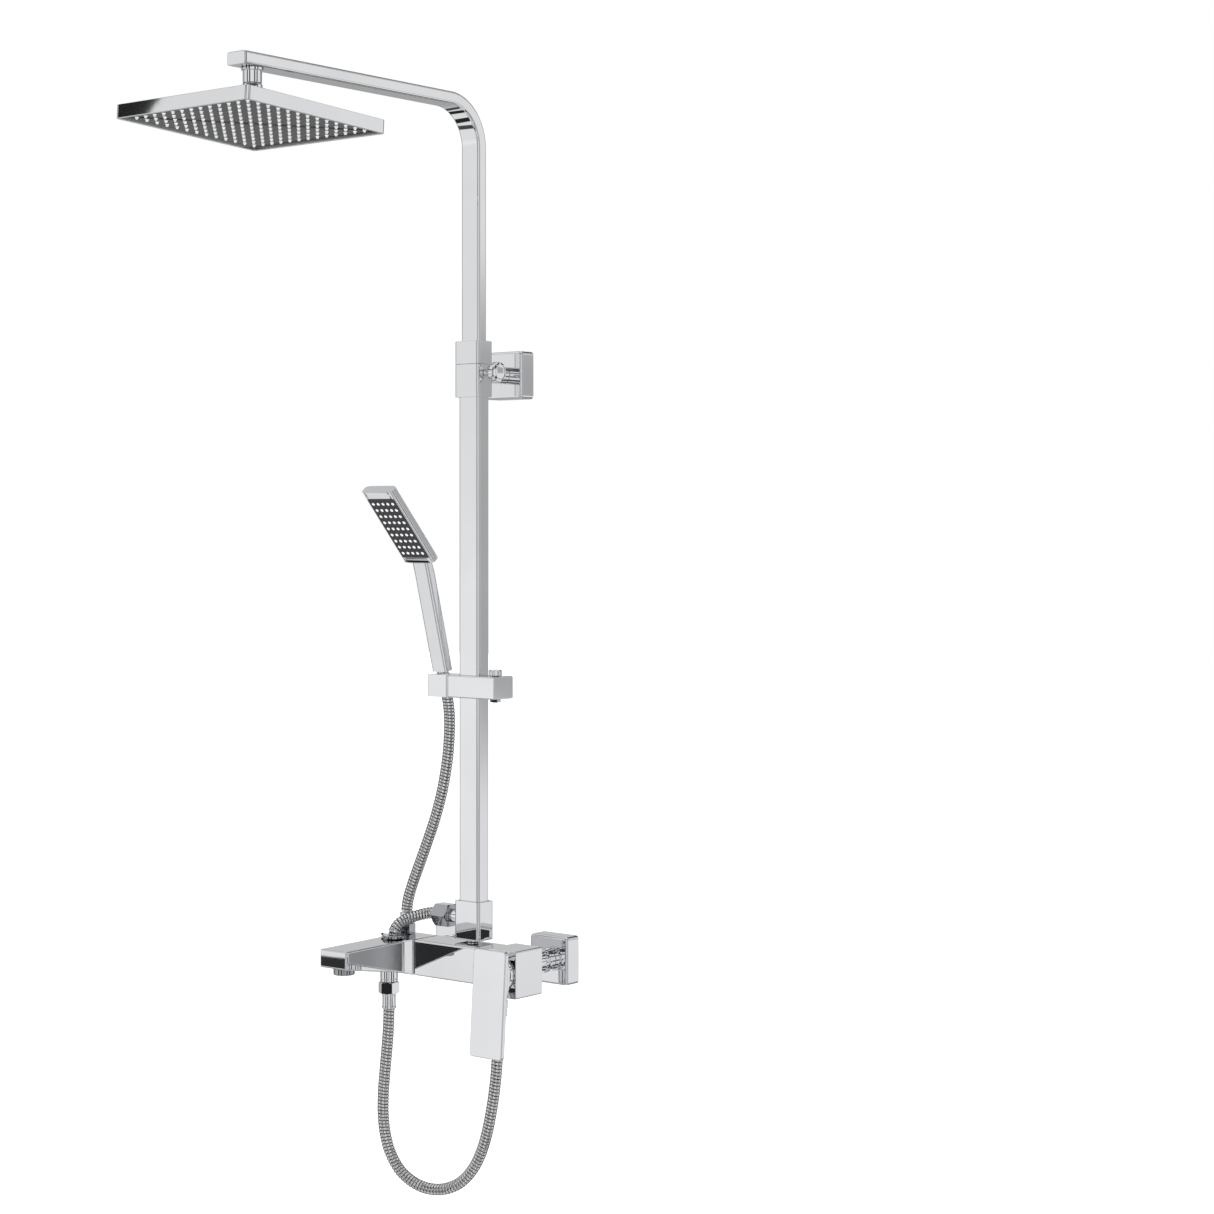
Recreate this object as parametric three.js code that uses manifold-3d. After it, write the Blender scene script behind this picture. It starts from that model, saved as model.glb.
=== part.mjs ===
// Rainfall shower column: a wall mixer with spout and hose outlets, a telescopic rail with a
// square rain head, and a stick hand shower on a sliding holder.
// Millimetres. +X to the right seen from the front, +Y into the wall, +Z up.
// The origin is on the wall plane, midway between the two water inlets.
import * as THREE from 'three';
import { mergeVertices } from 'three/addons/utils/BufferGeometryUtils.js';
import Module from 'manifold-3d';

const wasm = await Module();
wasm.setup();

// ---- Driving dimensions -------------------------------------------------------------------
const FIT = 0.3;                 // clearance left between two pieces that touch
const INLET_PITCH = 150;         // centre distance of the two wall inlets
const ESCUTCHEON = { side: 56, depth: 22, wall: 2 };

const RAIL = { x: 6, y: -74 };   // vertical axis of the column
const LOWER_TUBE = { w: 31, d: 20, wall: 1.2, bottom: 40.5, top: 705 };
const UPPER_TUBE = { w: 27.6, d: 14.4, wall: 1.5, bottom: 400 };
const ARM = { top: 1000.4, end: -448.6, bend: 52, capDepth: 2.3 };
const SLEEVE = { w: 37, d: 26, y: -74.7, bottom: 652.7, joint: 690.7, top: 717.6 };
const BASE = { w: 38, d: 27, bottom: 23.5, top: 68.3, pocket: 40 };
const STEM = { r: 10, z: 680.5 };

const HEAD = { side: 200, rim: 14.8, y: -425, ballZ: 957, bottom: -33, tilt: -3.2, corner: 5 };

const BAR = { left: -54.8, right: 60.7, front: -110, back: -66, half: 20.7 };
const HUB = { left: 61, right: 103, front: -112.5, top: 23.5, bottom: -30.5 };
const LEVER = { x: 82, z: -3.5, front: -135, w: 47.8, above: 29.7, below: 91.3, thick: 6, lean: -3.8 };
const SPOUT = { left: -106.5, right: -64.2, tip: -213.2, root: -119, top: 18.4, rootZ: -17.4, tipZ: -2.4 };

const HOSE = { d: 13.4, sides: 8 };
const LOOP_LEFT = { x: -85, y: -121, top: -8.3 };
const LOOP_RIGHT = { x: 51, y: -84, top: -21 };
const HAND_OUTLET = { x: -95, y: -80, z: 21 };
const TOP_OUTLET = { x: -85, y: -112, z: 21 };
const LINK = { y: -74, z: 47.5 };

const SLIDER = { left: -19, right: 52.5, front: -92, back: -58, bottom: 304, top: 330 };
const HOLDER = { left: -51, z: 317, axisY: -75 };
const HANDSET = { x: -35.3, y: -78, lean: 15, headLean: 26.5, handleW: 23.3, handleT: 12.7, neck: 150,
  headW: 48, headT: 12, headFoot: 3.5, headTop: 111, faceW: 41, faceL: 90, faceMiddle: 56 };

// ---- Finishes -----------------------------------------------------------------------------
const paint = (color, roughness, metalness) => () => new THREE.MeshStandardMaterial({ color, roughness, metalness });
const chrome = paint(0xd9dade, 0.08, 1);
const darkChrome = paint(0x6d7074, 0.22, 1);
const mirrorPlate = paint(0xb9bcc1, 0.1, 1);
const blackPlastic = paint(0x17181a, 0.4, 0);
const whiteRubber = paint(0xe9eaea, 0.6, 0);
const greyRubber = paint(0x3a3b3d, 0.7, 0);
const hoseSteel = paint(0xb4b6ba, 0.25, 1);

// ---- Helpers ------------------------------------------------------------------------------
const rad = THREE.MathUtils.degToRad;
const FROM_WALL = Math.PI / 2;   // rotation about X that turns a shape's +Z to -Y

/** A closed three.js geometry as a manifold solid. */
function solid(geometry) {
  const g = geometry.index ? geometry.clone() : mergeVertices(geometry);
  g.deleteAttribute('normal');
  g.deleteAttribute('uv');
  const merged = mergeVertices(g, 1e-4);
  return new wasm.Manifold(new wasm.Mesh({
    numProp: 3,
    vertProperties: new Float32Array(merged.attributes.position.array),
    triVerts: new Uint32Array(merged.index.array),
  }));
}

/** A manifold solid as a three.js geometry. */
function geometryOf(manifold) {
  const mesh = manifold.getMesh();
  const g = new THREE.BufferGeometry();
  g.setAttribute('position', new THREE.BufferAttribute(new Float32Array(mesh.vertProperties), 3));
  g.setIndex(new THREE.BufferAttribute(new Uint32Array(mesh.triVerts), 1));
  g.computeVertexNormals();
  return g;
}

/** Joins geometries and cuts others out of them. */
function carve(adds, cuts = []) {
  let body = solid(adds[0]);
  for (const g of adds.slice(1)) body = body.add(solid(g));
  for (const g of cuts) body = body.subtract(solid(g));
  return geometryOf(body);
}

/** Outline of a rectangle with round corners, centred. */
function roundRect(w, h, r) {
  const s = new THREE.Shape();
  s.moveTo(-w / 2 + r, -h / 2);
  s.lineTo(w / 2 - r, -h / 2);
  s.absarc(w / 2 - r, -h / 2 + r, r, -Math.PI / 2, 0, false);
  s.lineTo(w / 2, h / 2 - r);
  s.absarc(w / 2 - r, h / 2 - r, r, 0, Math.PI / 2, false);
  s.lineTo(-w / 2 + r, h / 2);
  s.absarc(-w / 2 + r, h / 2 - r, r, Math.PI / 2, Math.PI, false);
  s.lineTo(-w / 2, -h / 2 + r);
  s.absarc(-w / 2 + r, -h / 2 + r, r, Math.PI, Math.PI * 1.5, false);
  return s;
}

/** Points of a round-cornered rectangle, three to a corner. */
function cornerPoints(w, h, r) {
  const points = [];
  for (let corner = 0; corner < 4; corner += 1) {
    const cx = (corner === 0 || corner === 3 ? 1 : -1) * (w / 2 - r);
    const cy = (corner < 2 ? 1 : -1) * (h / 2 - r);
    for (let k = 0; k < 3; k += 1) {
      const a = (Math.PI / 2) * (corner + k / 2);
      points.push(new THREE.Vector2(cx + r * Math.cos(a), cy + r * Math.sin(a)));
    }
  }
  return points;
}

/** A plate or block on z from z0 to z1, with round corners and an optional edge bevel. */
function block(w, h, z0, z1, r = 1.5, bevel = 0, segments = 2) {
  const g = new THREE.ExtrudeGeometry(roundRect(w - 2 * bevel, h - 2 * bevel, Math.max(r - bevel, 0.4)), {
    depth: z1 - z0 - 2 * bevel, bevelEnabled: bevel > 0, bevelThickness: bevel, bevelSize: bevel,
    bevelSegments: 1, curveSegments: segments,
  });
  return g.translate(0, 0, z0 + bevel);
}

/** A turned piece about Z from [radius, z] points that start and end on the axis or close. */
function turned(points, segments = 16) {
  const g = new THREE.LatheGeometry(points.map(([r, z]) => new THREE.Vector2(r, z)), segments);
  return g.rotateX(Math.PI / 2);
}

/** A plain round bar about Z with a small chamfer at both ends. */
function rod(r, z0, z1, chamfer = 0.4, segments = 16) {
  return turned([[0, z0], [r - chamfer, z0], [r, z0 + chamfer], [r, z1 - chamfer], [r - chamfer, z1], [0, z1]],
    segments);
}

/** A ring about Z. */
function ring(inner, outer, z0, z1, segments = 16) {
  return turned([[inner, z0], [outer, z0], [outer, z1], [inner, z1], [inner, z0]], segments);
}

/** A hexagonal bar about Z, across flats af, with turned-off corners. */
function hexBar(af, z0, z1) {
  const hex = new THREE.CylinderGeometry(af / Math.sqrt(3), af / Math.sqrt(3), z1 - z0, 6)
    .rotateX(Math.PI / 2).translate(0, 0, (z0 + z1) / 2);
  const c = (af / Math.sqrt(3) - af / 2) * 1.2;
  return geometryOf(solid(hex).intersect(solid(rod(af / Math.sqrt(3), z0, z1, c))));
}

/** A solid through rings of points, each ring with the same number of them. */
function loft(rings) {
  const n = rings[0].length;
  const position = rings.flat().flatMap((p) => [p.x, p.y, p.z]);
  const index = [];
  for (let k = 0; k + 1 < rings.length; k += 1) {
    for (let i = 0; i < n; i += 1) {
      const a = k * n + i;
      const b = k * n + ((i + 1) % n);
      index.push(a, b, b + n, a, b + n, a + n);
    }
  }
  const last = (rings.length - 1) * n;
  for (let i = 1; i + 1 < n; i += 1) {
    index.push(0, i + 1, i);
    index.push(last, last + i, last + i + 1);
  }
  const g = new THREE.BufferGeometry();
  g.setAttribute('position', new THREE.Float32BufferAttribute(position, 3));
  g.setIndex(index);
  return g;
}

/** One ring for loft: a round-cornered w by t rectangle across a direction that leans forward. */
function section(w, t, r, y, z, lean, x = 0) {
  const c = Math.cos(lean);
  const s = Math.sin(lean);
  return cornerPoints(w, t, r).map((p) => new THREE.Vector3(x + p.x, y + p.y * c, z + p.y * s));
}

/** A plain flexible hose through points. */
function hose(points, steps) {
  const path = new THREE.CatmullRomCurve3(points.map((p) => new THREE.Vector3(...p)), false, 'centripetal');
  const shape = new THREE.Shape();
  for (let i = 0; i < HOSE.sides; i += 1) {
    const a = (2 * Math.PI * i) / HOSE.sides;
    const p = [(HOSE.d / 2) * Math.cos(a), (HOSE.d / 2) * Math.sin(a)];
    if (i === 0) shape.moveTo(...p);
    else shape.lineTo(...p);
  }
  return new THREE.ExtrudeGeometry(shape, { steps, extrudePath: path, bevelEnabled: false, curveSegments: 1 });
}

const column = new THREE.Group();

/** Adds one named piece to a group, at a place. */
function piece(name, geometry, finish, { at = [0, 0, 0], turn = [0, 0, 0], into = column } = {}) {
  const mesh = new THREE.Mesh(geometry, finish());
  mesh.name = name;
  mesh.position.set(...at);
  mesh.rotation.set(...turn);
  into.add(mesh);
  return mesh;
}

// ---- Wall fittings ------------------------------------------------------------------------
function escutcheon(name, x, z, hole) {
  const { side, depth, wall } = ESCUTCHEON;
  const inner = side - 2 * wall;
  piece(name, carve([block(side, side, 0, depth, 2.5, 0.8)],
    [block(inner, inner, -1, depth - wall, 1.5), rod(hole, -2, depth + 2, 0.1)]), chrome,
  { at: [x, 0, z], turn: [FROM_WALL, 0, 0] });
}

function inlet(side, x) {
  const nutFront = -BAR.back - FIT;
  const flange = 34;
  const end = 50;
  piece(`inlet_union_${side}`, turned([[7.5, 0], [12, 0], [12, flange - 4], [14, flange - 4], [14, flange],
    [11.5, flange], [11.5, end], [7.5, end], [7.5, 0]]), chrome, { at: [x, 0, 0], turn: [FROM_WALL, 0, 0] });
  piece(`union_nut_${side}`, carve([hexBar(30, end + FIT, nutFront)], [rod(8, end - 1, nutFront + 1, 0.1)]),
    chrome, { at: [x, 0, 0], turn: [FROM_WALL, 0, 0] });
}

function wallFittings() {
  for (const [side, x] of [['left', -INLET_PITCH / 2], ['right', INLET_PITCH / 2]]) {
    escutcheon(`escutcheon_${side}`, x, 0, 12.6);
    inlet(side, x);
  }
  escutcheon('escutcheon_upper', RAIL.x, STEM.z, STEM.r + 0.6);
}

// ---- Mixer --------------------------------------------------------------------------------
function mixerBody() {
  const depth = BAR.back - BAR.front;
  const y = (BAR.front + BAR.back) / 2;
  const alongX = [0, Math.PI / 2, 0];
  piece('mixer_bar', block(2 * BAR.half, depth, BAR.left, BAR.right, 2.2, 0.8), chrome,
    { at: [0, y, 0], turn: alongX });
  piece('spout_seal', block(2 * BAR.half - 3, depth - 3, BAR.left - FIT - 0.9, BAR.left - FIT, 1.5), greyRubber,
    { at: [0, y, 0], turn: alongX });

  const hubDepth = BAR.back - HUB.front;
  const hubW = HUB.right - HUB.left;
  const hubH = HUB.top - HUB.bottom;
  const recess = 4.3;
  piece('hub_block', carve([block(hubW, hubH, -BAR.back, -BAR.back + hubDepth, 2.2, 0.8)
    .translate(0, (HUB.top + HUB.bottom) / 2 - LEVER.z, 0)],
  [rod(18.8, -HUB.front - recess, -HUB.front + 5, 0.1)]), chrome,
  { at: [LEVER.x, 0, LEVER.z], turn: [FROM_WALL, 0, 0] });
  piece('cartridge_nut', turned([[14.3, 108.6], [18.4, 108.6], [18.4, 114.6], [17, 116.2], [14.3, 116.2],
    [14.3, 108.6]]), chrome, { at: [LEVER.x, 0, LEVER.z], turn: [FROM_WALL, 0, 0] });
}

function lever() {
  const at = [LEVER.x, 0, LEVER.z];
  piece('cartridge_cap', turned([[9.5, 108.6], [13.9, 108.6], [13.9, 114], [12.5, 115.5], [9.5, 115.5],
    [9.5, 108.6]]), blackPlastic, { at, turn: [FROM_WALL, 0, 0] });
  piece('lever_stem', rod(5, 111, 119.9), blackPlastic, { at, turn: [FROM_WALL, 0, 0] });

  const reach = -LEVER.front - 120.3 - LEVER.thick;
  const wedge = new THREE.Shape([[0, 27], [reach, 7], [reach, -9], [0, -37]].map((p) => new THREE.Vector2(...p)));
  const plate = block(LEVER.w, LEVER.above + LEVER.below, 0, LEVER.thick, 4, 0.8, 3)
    .rotateX(FROM_WALL).translate(0, LEVER.thick, (LEVER.above - LEVER.below) / 2);
  const hub = new THREE.ExtrudeGeometry(wedge, { depth: 40, bevelEnabled: false })
    .applyMatrix4(new THREE.Matrix4().makeBasis(new THREE.Vector3(0, 1, 0), new THREE.Vector3(0, 0, 1),
      new THREE.Vector3(1, 0, 0))).translate(-20, LEVER.thick - 0.4, 0);
  piece('lever', carve([plate, hub]), chrome,
    { at: [LEVER.x, LEVER.front, LEVER.z], turn: [rad(LEVER.lean), 0, 0] });
}

// ---- Spout and diverter block -------------------------------------------------------------
function spoutRing(y, left, right, bottom, top, r) {
  return cornerPoints(right - left, top - bottom, r)
    .map((p) => new THREE.Vector3((left + right) / 2 + p.x, y, (top + bottom) / 2 + p.y));
}

function spout() {
  const wide = BAR.left - FIT - 0.9 - FIT;
  const { left, right, tip, root, top, rootZ, tipZ } = SPOUT;
  const body = loft([
    spoutRing(BAR.back, left + 0.8, wide - 0.8, -BAR.half + 0.8, BAR.half - 0.8, 1.4),
    spoutRing(BAR.back - 0.8, left, wide, -BAR.half, BAR.half, 2.2),
    spoutRing(BAR.front, left, wide, -BAR.half, BAR.half, 2.2),
    spoutRing(root, left, right, rootZ, top + 1, 2.2),
    spoutRing(tip + 1.2, left, right, tipZ, top, 2.2),
    spoutRing(tip, left + 1.2, right - 1.2, tipZ + 1.2, top - 1.2, 1.6),
  ]);
  const aerator = { x: (left + right) / 2, y: -195 };
  piece('spout', carve([body], [
    rod(12.8, -30, 4, 0.1).translate(aerator.x, aerator.y, 0),
    rod(10.8, -40, LOOP_LEFT.top + FIT, 0.1).translate(LOOP_LEFT.x, LOOP_LEFT.y, 0),
  ]), chrome);
  piece('aerator', turned([[0, -8.5], [9.3, -8.5], [9.8, -11], [11.8, -11], [12.5, -10], [12.5, 3.6], [0, 3.6]]),
    darkChrome, { at: [aerator.x, aerator.y, 0] });

  piece('top_nipple', ring(4, 7.1, TOP_OUTLET.z, TOP_OUTLET.z + 3.3), chrome, { at: [TOP_OUTLET.x, TOP_OUTLET.y, 0] });
  const pinZ = TOP_OUTLET.z + 1.8;
  const pin = rod(1.3, 13, 18.5, 0.2, 8).rotateY(-Math.PI / 2).translate(0, 0, pinZ);
  const ball = new THREE.SphereGeometry(1.8, 8, 6).translate(-19, 0, pinZ);
  piece('diverter_ring', carve([ring(7.5, 14, TOP_OUTLET.z, TOP_OUTLET.z + 3, 20), pin, ball]), darkChrome,
    { at: [TOP_OUTLET.x, TOP_OUTLET.y, 0] });
}

// ---- Hoses and their fittings ---------------------------------------------------------------
const LOOP_ROUTE = [
  [-85, -121, -61.3], [-85.6, -121.2, -83], [-87.6, -121.7, -108], [-90.2, -122.4, -135], [-92.2, -122.9, -160],
  [-92.4, -123, -185], [-89.6, -122.2, -209], [-82.5, -120.3, -231], [-70.2, -117, -249.5], [-53, -112.3, -261.5],
  [-32.8, -106.8, -266.6], [-12, -101.2, -264], [6.2, -96.2, -254.2], [20.6, -92.3, -238], [31, -89.4, -217.5],
  [38, -87.5, -195], [43.2, -86.1, -170.5], [47.2, -85, -145], [49.9, -84.3, -120], [51, -84, -97],
  [51, -84, -75.3],
];
const HAND_ROUTE = [
  [-35.3, -74.6, 304], [-35.8, -70.9, 288], [-36.9, -68.7, 271], [-38.6, -67.5, 254.5], [-40.7, -66.8, 238],
  [-43.4, -66.6, 222], [-46.7, -66.8, 205.5], [-50.4, -67.4, 189], [-54.7, -68.4, 173], [-59.4, -69.8, 157],
  [-64.7, -71.4, 141.3], [-70.3, -73.2, 125.7], [-76, -75, 110], [-81.7, -76.8, 94.5], [-87.3, -78.5, 79],
  [-91.6, -79.6, 65.5], [-93.9, -79.9, 56.2], [-94.9, -80, 47],
];
const LINK_ROUTE = [
  [-85, -112, 24.9], [-85, -111.8, 28.5], [-84, -106, 35.5], [-80.2, -95.5, 40.8], [-71.5, -83, 45],
  [-62, -75, 47.4], [-55, -74, 47.5], [-50, -74, 47.5],
];

/** Ferrule with a rolled lip at the hose end, from z1 down to z0. */
function ferrule(r, z0, z1) {
  return turned([[0, z0], [r - 1, z0], [r, z0 + 1], [r, z0 + 2.4], [r - 0.5, z0 + 3.2], [r - 0.5, z1 - 2],
    [r, z1 - 1], [r, z1], [0, z1]]);
}

function hoses() {
  const left = [LOOP_LEFT.x, LOOP_LEFT.y, 0];
  piece('loop_stub_left', rod(10.5, -29.2, LOOP_LEFT.top, 0.8), chrome, { at: left });
  piece('loop_nut_left', hexBar(22, -42.7, -29.5), chrome, { at: left });
  piece('loop_ferrule_left', ferrule(8.5, -61, -43), chrome, { at: left });

  const right = [LOOP_RIGHT.x, LOOP_RIGHT.y, 0];
  piece('loop_stub_right', rod(9.6, -40.1, LOOP_RIGHT.top, 0.8), chrome, { at: right });
  piece('loop_nut_right', hexBar(22, -50.7, -40.4), chrome, { at: right });
  piece('loop_collar_right', rod(10.7, -60, -51, 0.8), darkChrome, { at: right });
  piece('loop_ferrule_right', ferrule(8.7, -75, -60.3), chrome, { at: right });
  piece('loop_hose', hose(LOOP_ROUTE, 30), hoseSteel);

  const outlet = [HAND_OUTLET.x, HAND_OUTLET.y, 0];
  piece('hand_nut_low', hexBar(18.5, HAND_OUTLET.z, 33), darkChrome, { at: outlet });
  piece('hand_ferrule_low', ferrule(8.2, -46, -33.3), chrome, { at: outlet, turn: [Math.PI, 0, 0] });
  piece('hand_hose', hose(HAND_ROUTE, 16), hoseSteel);

  const alongX = [0, Math.PI / 2, 0];
  const nut = { from: -49.7, to: -27.5 };
  piece('link_hose', hose(LINK_ROUTE, 10), hoseSteel);
  piece('link_nut', hexBar(25.5, nut.from, nut.to), darkChrome, { at: [0, LINK.y, LINK.z], turn: alongX });
  piece('column_nipple', rod(8, nut.to + FIT, RAIL.x - BASE.w / 2 - FIT), chrome,
    { at: [0, LINK.y, LINK.z], turn: alongX });
}

// ---- Column -------------------------------------------------------------------------------
function rail() {
  const tube = LOWER_TUBE;
  const clearW = tube.w + 2 * FIT;
  const clearD = tube.d + 2 * FIT;
  const bore = (z0, z1) => block(clearW, clearD, z0, z1, 1.2).translate(0, RAIL.y - SLEEVE.y, 0);

  piece('column_foot', rod(7, BAR.half + FIT, BASE.bottom - FIT, 0.2), chrome, { at: [RAIL.x, RAIL.y - 2, 0] });
  piece('column_base', carve([block(BASE.w, BASE.d, BASE.bottom, BASE.top, 1.6, 0.7)],
    [block(clearW, clearD, BASE.pocket, BASE.top + 5, 1.2)]), chrome, { at: [RAIL.x, RAIL.y, 0] });
  piece('lower_tube', carve([block(tube.w, tube.d, tube.bottom, tube.top, 1.6)],
    [block(tube.w - 2 * tube.wall, tube.d - 2 * tube.wall, tube.bottom - 1, tube.top + 1, 1)]), chrome,
  { at: [RAIL.x, RAIL.y, 0] });

  const place = { at: [RAIL.x, SLEEVE.y, 0] };
  piece('wall_bracket', carve([block(SLEEVE.w, SLEEVE.d, SLEEVE.bottom, SLEEVE.joint, 1.6, 0.6)],
    [bore(SLEEVE.bottom - 5, SLEEVE.joint + 5)]), chrome, place);
  piece('height_collar', carve([block(SLEEVE.w, SLEEVE.d, SLEEVE.joint + FIT, SLEEVE.top, 1.6, 0.6)],
    [bore(SLEEVE.joint - 5, tube.top + FIT),
      block(UPPER_TUBE.w + 1, UPPER_TUBE.d + 1, tube.top - 1, SLEEVE.top + 5, 2).translate(0, RAIL.y - SLEEVE.y, 0)]),
  chrome, place);
  const stemEnd = -(SLEEVE.y + SLEEVE.d / 2) - FIT;
  piece('bracket_stem', rod(STEM.r, 0, stemEnd, 0.5, 20), chrome, { at: [RAIL.x, 0, STEM.z], turn: [FROM_WALL, 0, 0] });
  const knob = turned([[0, 25], [4.5, 25], [4.5, 34], [9, 34.6], [11.2, 36.5], [12, 38.5], [12, 44.5], [11, 46.6],
    [8.8, 47.6], [0, 47.6]], 20);
  piece('height_knob', knob, chrome, { at: [0, SLEEVE.y, STEM.z], turn: [0, Math.PI / 2, 0] });
}

/** The rail's path as rings: up, round the bend and out along the arm. */
function armRings(w, t, r, bottom, end) {
  const level = ARM.top - UPPER_TUBE.d / 2;
  const turns = 9;
  const rings = [section(w, t, r, RAIL.y, bottom, 0, RAIL.x)];
  for (let k = 0; k <= turns; k += 1) {
    const a = (k / turns) * (Math.PI / 2);
    rings.push(section(w, t, r, RAIL.y - ARM.bend + ARM.bend * Math.cos(a),
      level - ARM.bend + ARM.bend * Math.sin(a), a, RAIL.x));
  }
  rings.push(section(w, t, r, end, level, Math.PI / 2, RAIL.x));
  return loft(rings);
}

function arm() {
  const { w, d, wall, bottom } = UPPER_TUBE;
  const capBack = ARM.end + ARM.capDepth;
  const level = ARM.top - d / 2;
  piece('upper_tube', carve([armRings(w, d, 1.6, bottom, capBack + FIT)],
    [armRings(w - 2 * wall, d - 2 * wall, 1, bottom - 5, capBack - 5)]), chrome);
  piece('arm_cap', block(w, d, -capBack, -ARM.end, 1.6, 0.6), chrome,
    { at: [RAIL.x, 0, level], turn: [FROM_WALL, 0, 0] });

  const under = ARM.top - d - HEAD.ballZ - FIT;
  const at = [RAIL.x, HEAD.y, HEAD.ballZ];
  piece('arm_nipple', turned([[0, 12.3], [9.6, 12.3], [10.2, 13], [10.2, under - 3.2], [12, under - 2.8],
    [12, under], [0, under]]), chrome, { at });
  const cup = turned([[0, -4], [9.8, -4], [11, -2.6], [11.4, 4], [10.6, 11], [9.8, 12], [0, 12]]);
  piece('swivel_nut', carve([cup], [new THREE.SphereGeometry(8.6, 16, 8), rod(7.6, -6, 0, 0.1)]), chrome, { at });
}

// ---- Rain head ----------------------------------------------------------------------------
function rainHead() {
  const group = new THREE.Group();
  group.position.set(RAIL.x, HEAD.y, HEAD.ballZ);
  group.rotation.x = rad(HEAD.tilt);
  column.add(group);
  const { side, rim, bottom, corner } = HEAD;
  const top = bottom + rim;
  const wall = 3;
  const recess = 2.4;
  const inside = side - 2 * wall;
  piece('head_housing', carve([block(side, side, bottom, top, corner, 0.9, 3)],
    [block(inside, inside, bottom - 1, top - wall, corner - 1.5, 0, 3)]), chrome, { into: group });
  piece('head_face', block(inside - 2 * FIT, inside - 2 * FIT, bottom + recess, bottom + recess + 2, corner - 1.8),
    mirrorPlate, { into: group });
  piece('head_mat', block(inside - 6, inside - 6, bottom + recess + 2.3, bottom + recess + 4.5, 2), whiteRubber,
    { into: group });
  piece('head_neck', turned([[0, top + FIT], [30, top + FIT], [30, top + 1.2], [26, top + 3.2], [4.6, top + 4.2],
    [4.6, -6.5], [6, -5.3], [7.5, -2.8], [8, 0], [7.5, 2.8], [6, 5.3], [3.4, 7.2], [0, 8]], 16), chrome,
  { into: group });
}

// ---- Slider and hand shower ---------------------------------------------------------------
function slider() {
  const { left, right, front, back, bottom, top } = SLIDER;
  const cx = (left + right) / 2;
  const cy = (front + back) / 2;
  const knob = { x: 40, y: -75 };
  piece('slider_block', carve([block(right - left, back - front, bottom, top, 1.8, 0.8)],
    [block(LOWER_TUBE.w + 2 * FIT, LOWER_TUBE.d + 2 * FIT, bottom - 5, top + 5, 1.2)
      .translate(RAIL.x - cx, RAIL.y - cy, 0),
    rod(3.5, bottom - 5, top + 5, 0.1, 16).translate(knob.x - cx, knob.y - cy, 0)]), chrome, { at: [cx, cy, 0] });
  piece('slider_nut', carve([hexBar(11, bottom - 3.8, bottom - FIT)], [rod(3.5, bottom - 5, top, 0.1, 16)]), chrome,
    { at: [knob.x, knob.y, 0] });
  piece('slider_knob', turned([[0, bottom - 4.6], [3.1, bottom - 4.6], [3.1, top + FIT], [6.6, top + FIT],
    [7.6, top + 1.2], [7.6, top + 6.4], [6.6, top + 7.5], [0, top + 7.5]], 20), chrome, { at: [knob.x, knob.y, 0] });

  const w = left - 2 * FIT - HOLDER.left;
  const hx = (left - 2 * FIT + HOLDER.left) / 2;
  const depth = back - front;
  const cone = turned([[0, -22], [7.4, -22], [7.75, -14], [8.7, 13], [9, 22], [0, 22]])
    .rotateX(rad(HANDSET.lean)).translate(HANDSET.x - hx, HANDSET.y - HOLDER.axisY, 0);
  piece('holder', carve([block(w, depth, -13, 13, 2.4, 0.8)], [cone]), chrome, { at: [hx, HOLDER.axisY, HOLDER.z] });
}

function handset() {
  const group = new THREE.Group();
  group.position.set(HANDSET.x, HANDSET.y, HOLDER.z);
  group.rotation.x = rad(HANDSET.lean);
  column.add(group);
  const h = HANDSET;
  const bend = rad(h.headLean);
  const along = (s) => [-Math.sin(bend) * s, h.neck + Math.cos(bend) * s];
  piece('hand_cone', turned([[0, -12.6], [7.3, -12.6], [8.2, 12], [0, 12]]), chrome, { into: group });
  piece('hand_connector', rod(7, 12.3, 17.6, 0.5), chrome, { into: group });

  const rings = [
    section(h.handleW - 2, h.handleT - 2, 2, 0, 18, 0), section(h.handleW, h.handleT, 2.4, 0, 19.2, 0),
    section(h.handleW, h.handleT, 2.4, 0, h.neck - 14, 0),
    section(h.handleW, h.headT, 2.4, ...along(h.headFoot - 0.4), bend),
    section(h.headW, h.headT, 2.4, ...along(h.headFoot), bend),
    section(h.headW, h.headT, 2.4, ...along(h.headTop - 1.4), bend),
    section(h.headW - 2.6, h.headT - 2.6, 1.4, ...along(h.headTop), bend),
  ];
  const mid = along(h.faceMiddle);
  const onFace = (g, lift) => g.rotateX(FROM_WALL).translate(0, lift, 0).rotateX(bend).translate(0, ...mid);
  const skin = -h.headT / 2;
  const recess = 1.8;
  const pocket = onFace(block(h.faceW + 2 * FIT, h.faceL + 2 * FIT, 0, 5, 2), skin + recess);
  piece('hand_body', carve([loft(rings)], [pocket]), chrome, { into: group });
  piece('hand_face', onFace(block(h.faceW, h.faceL, 0, 1.2, 1.8), skin + recess - FIT), blackPlastic,
    { into: group });
}

wallFittings();
mixerBody();
lever();
spout();
hoses();
rail();
arm();
rainHead();
slider();
handset();

export default column;
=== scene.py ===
"""Rainfall shower column: the looks of every piece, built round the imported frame.

Metres, +X to the right seen from the front, +Y into the wall, +Z up. The origin is on the wall plane,
midway between the two water inlets. Places and outer sizes come from the frame's own boxes.
"""

import logging
import math
from dataclasses import dataclass
from enum import Enum
from typing import Callable, Iterable, Sequence

import bpy
from mathutils import Matrix, Vector


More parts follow.
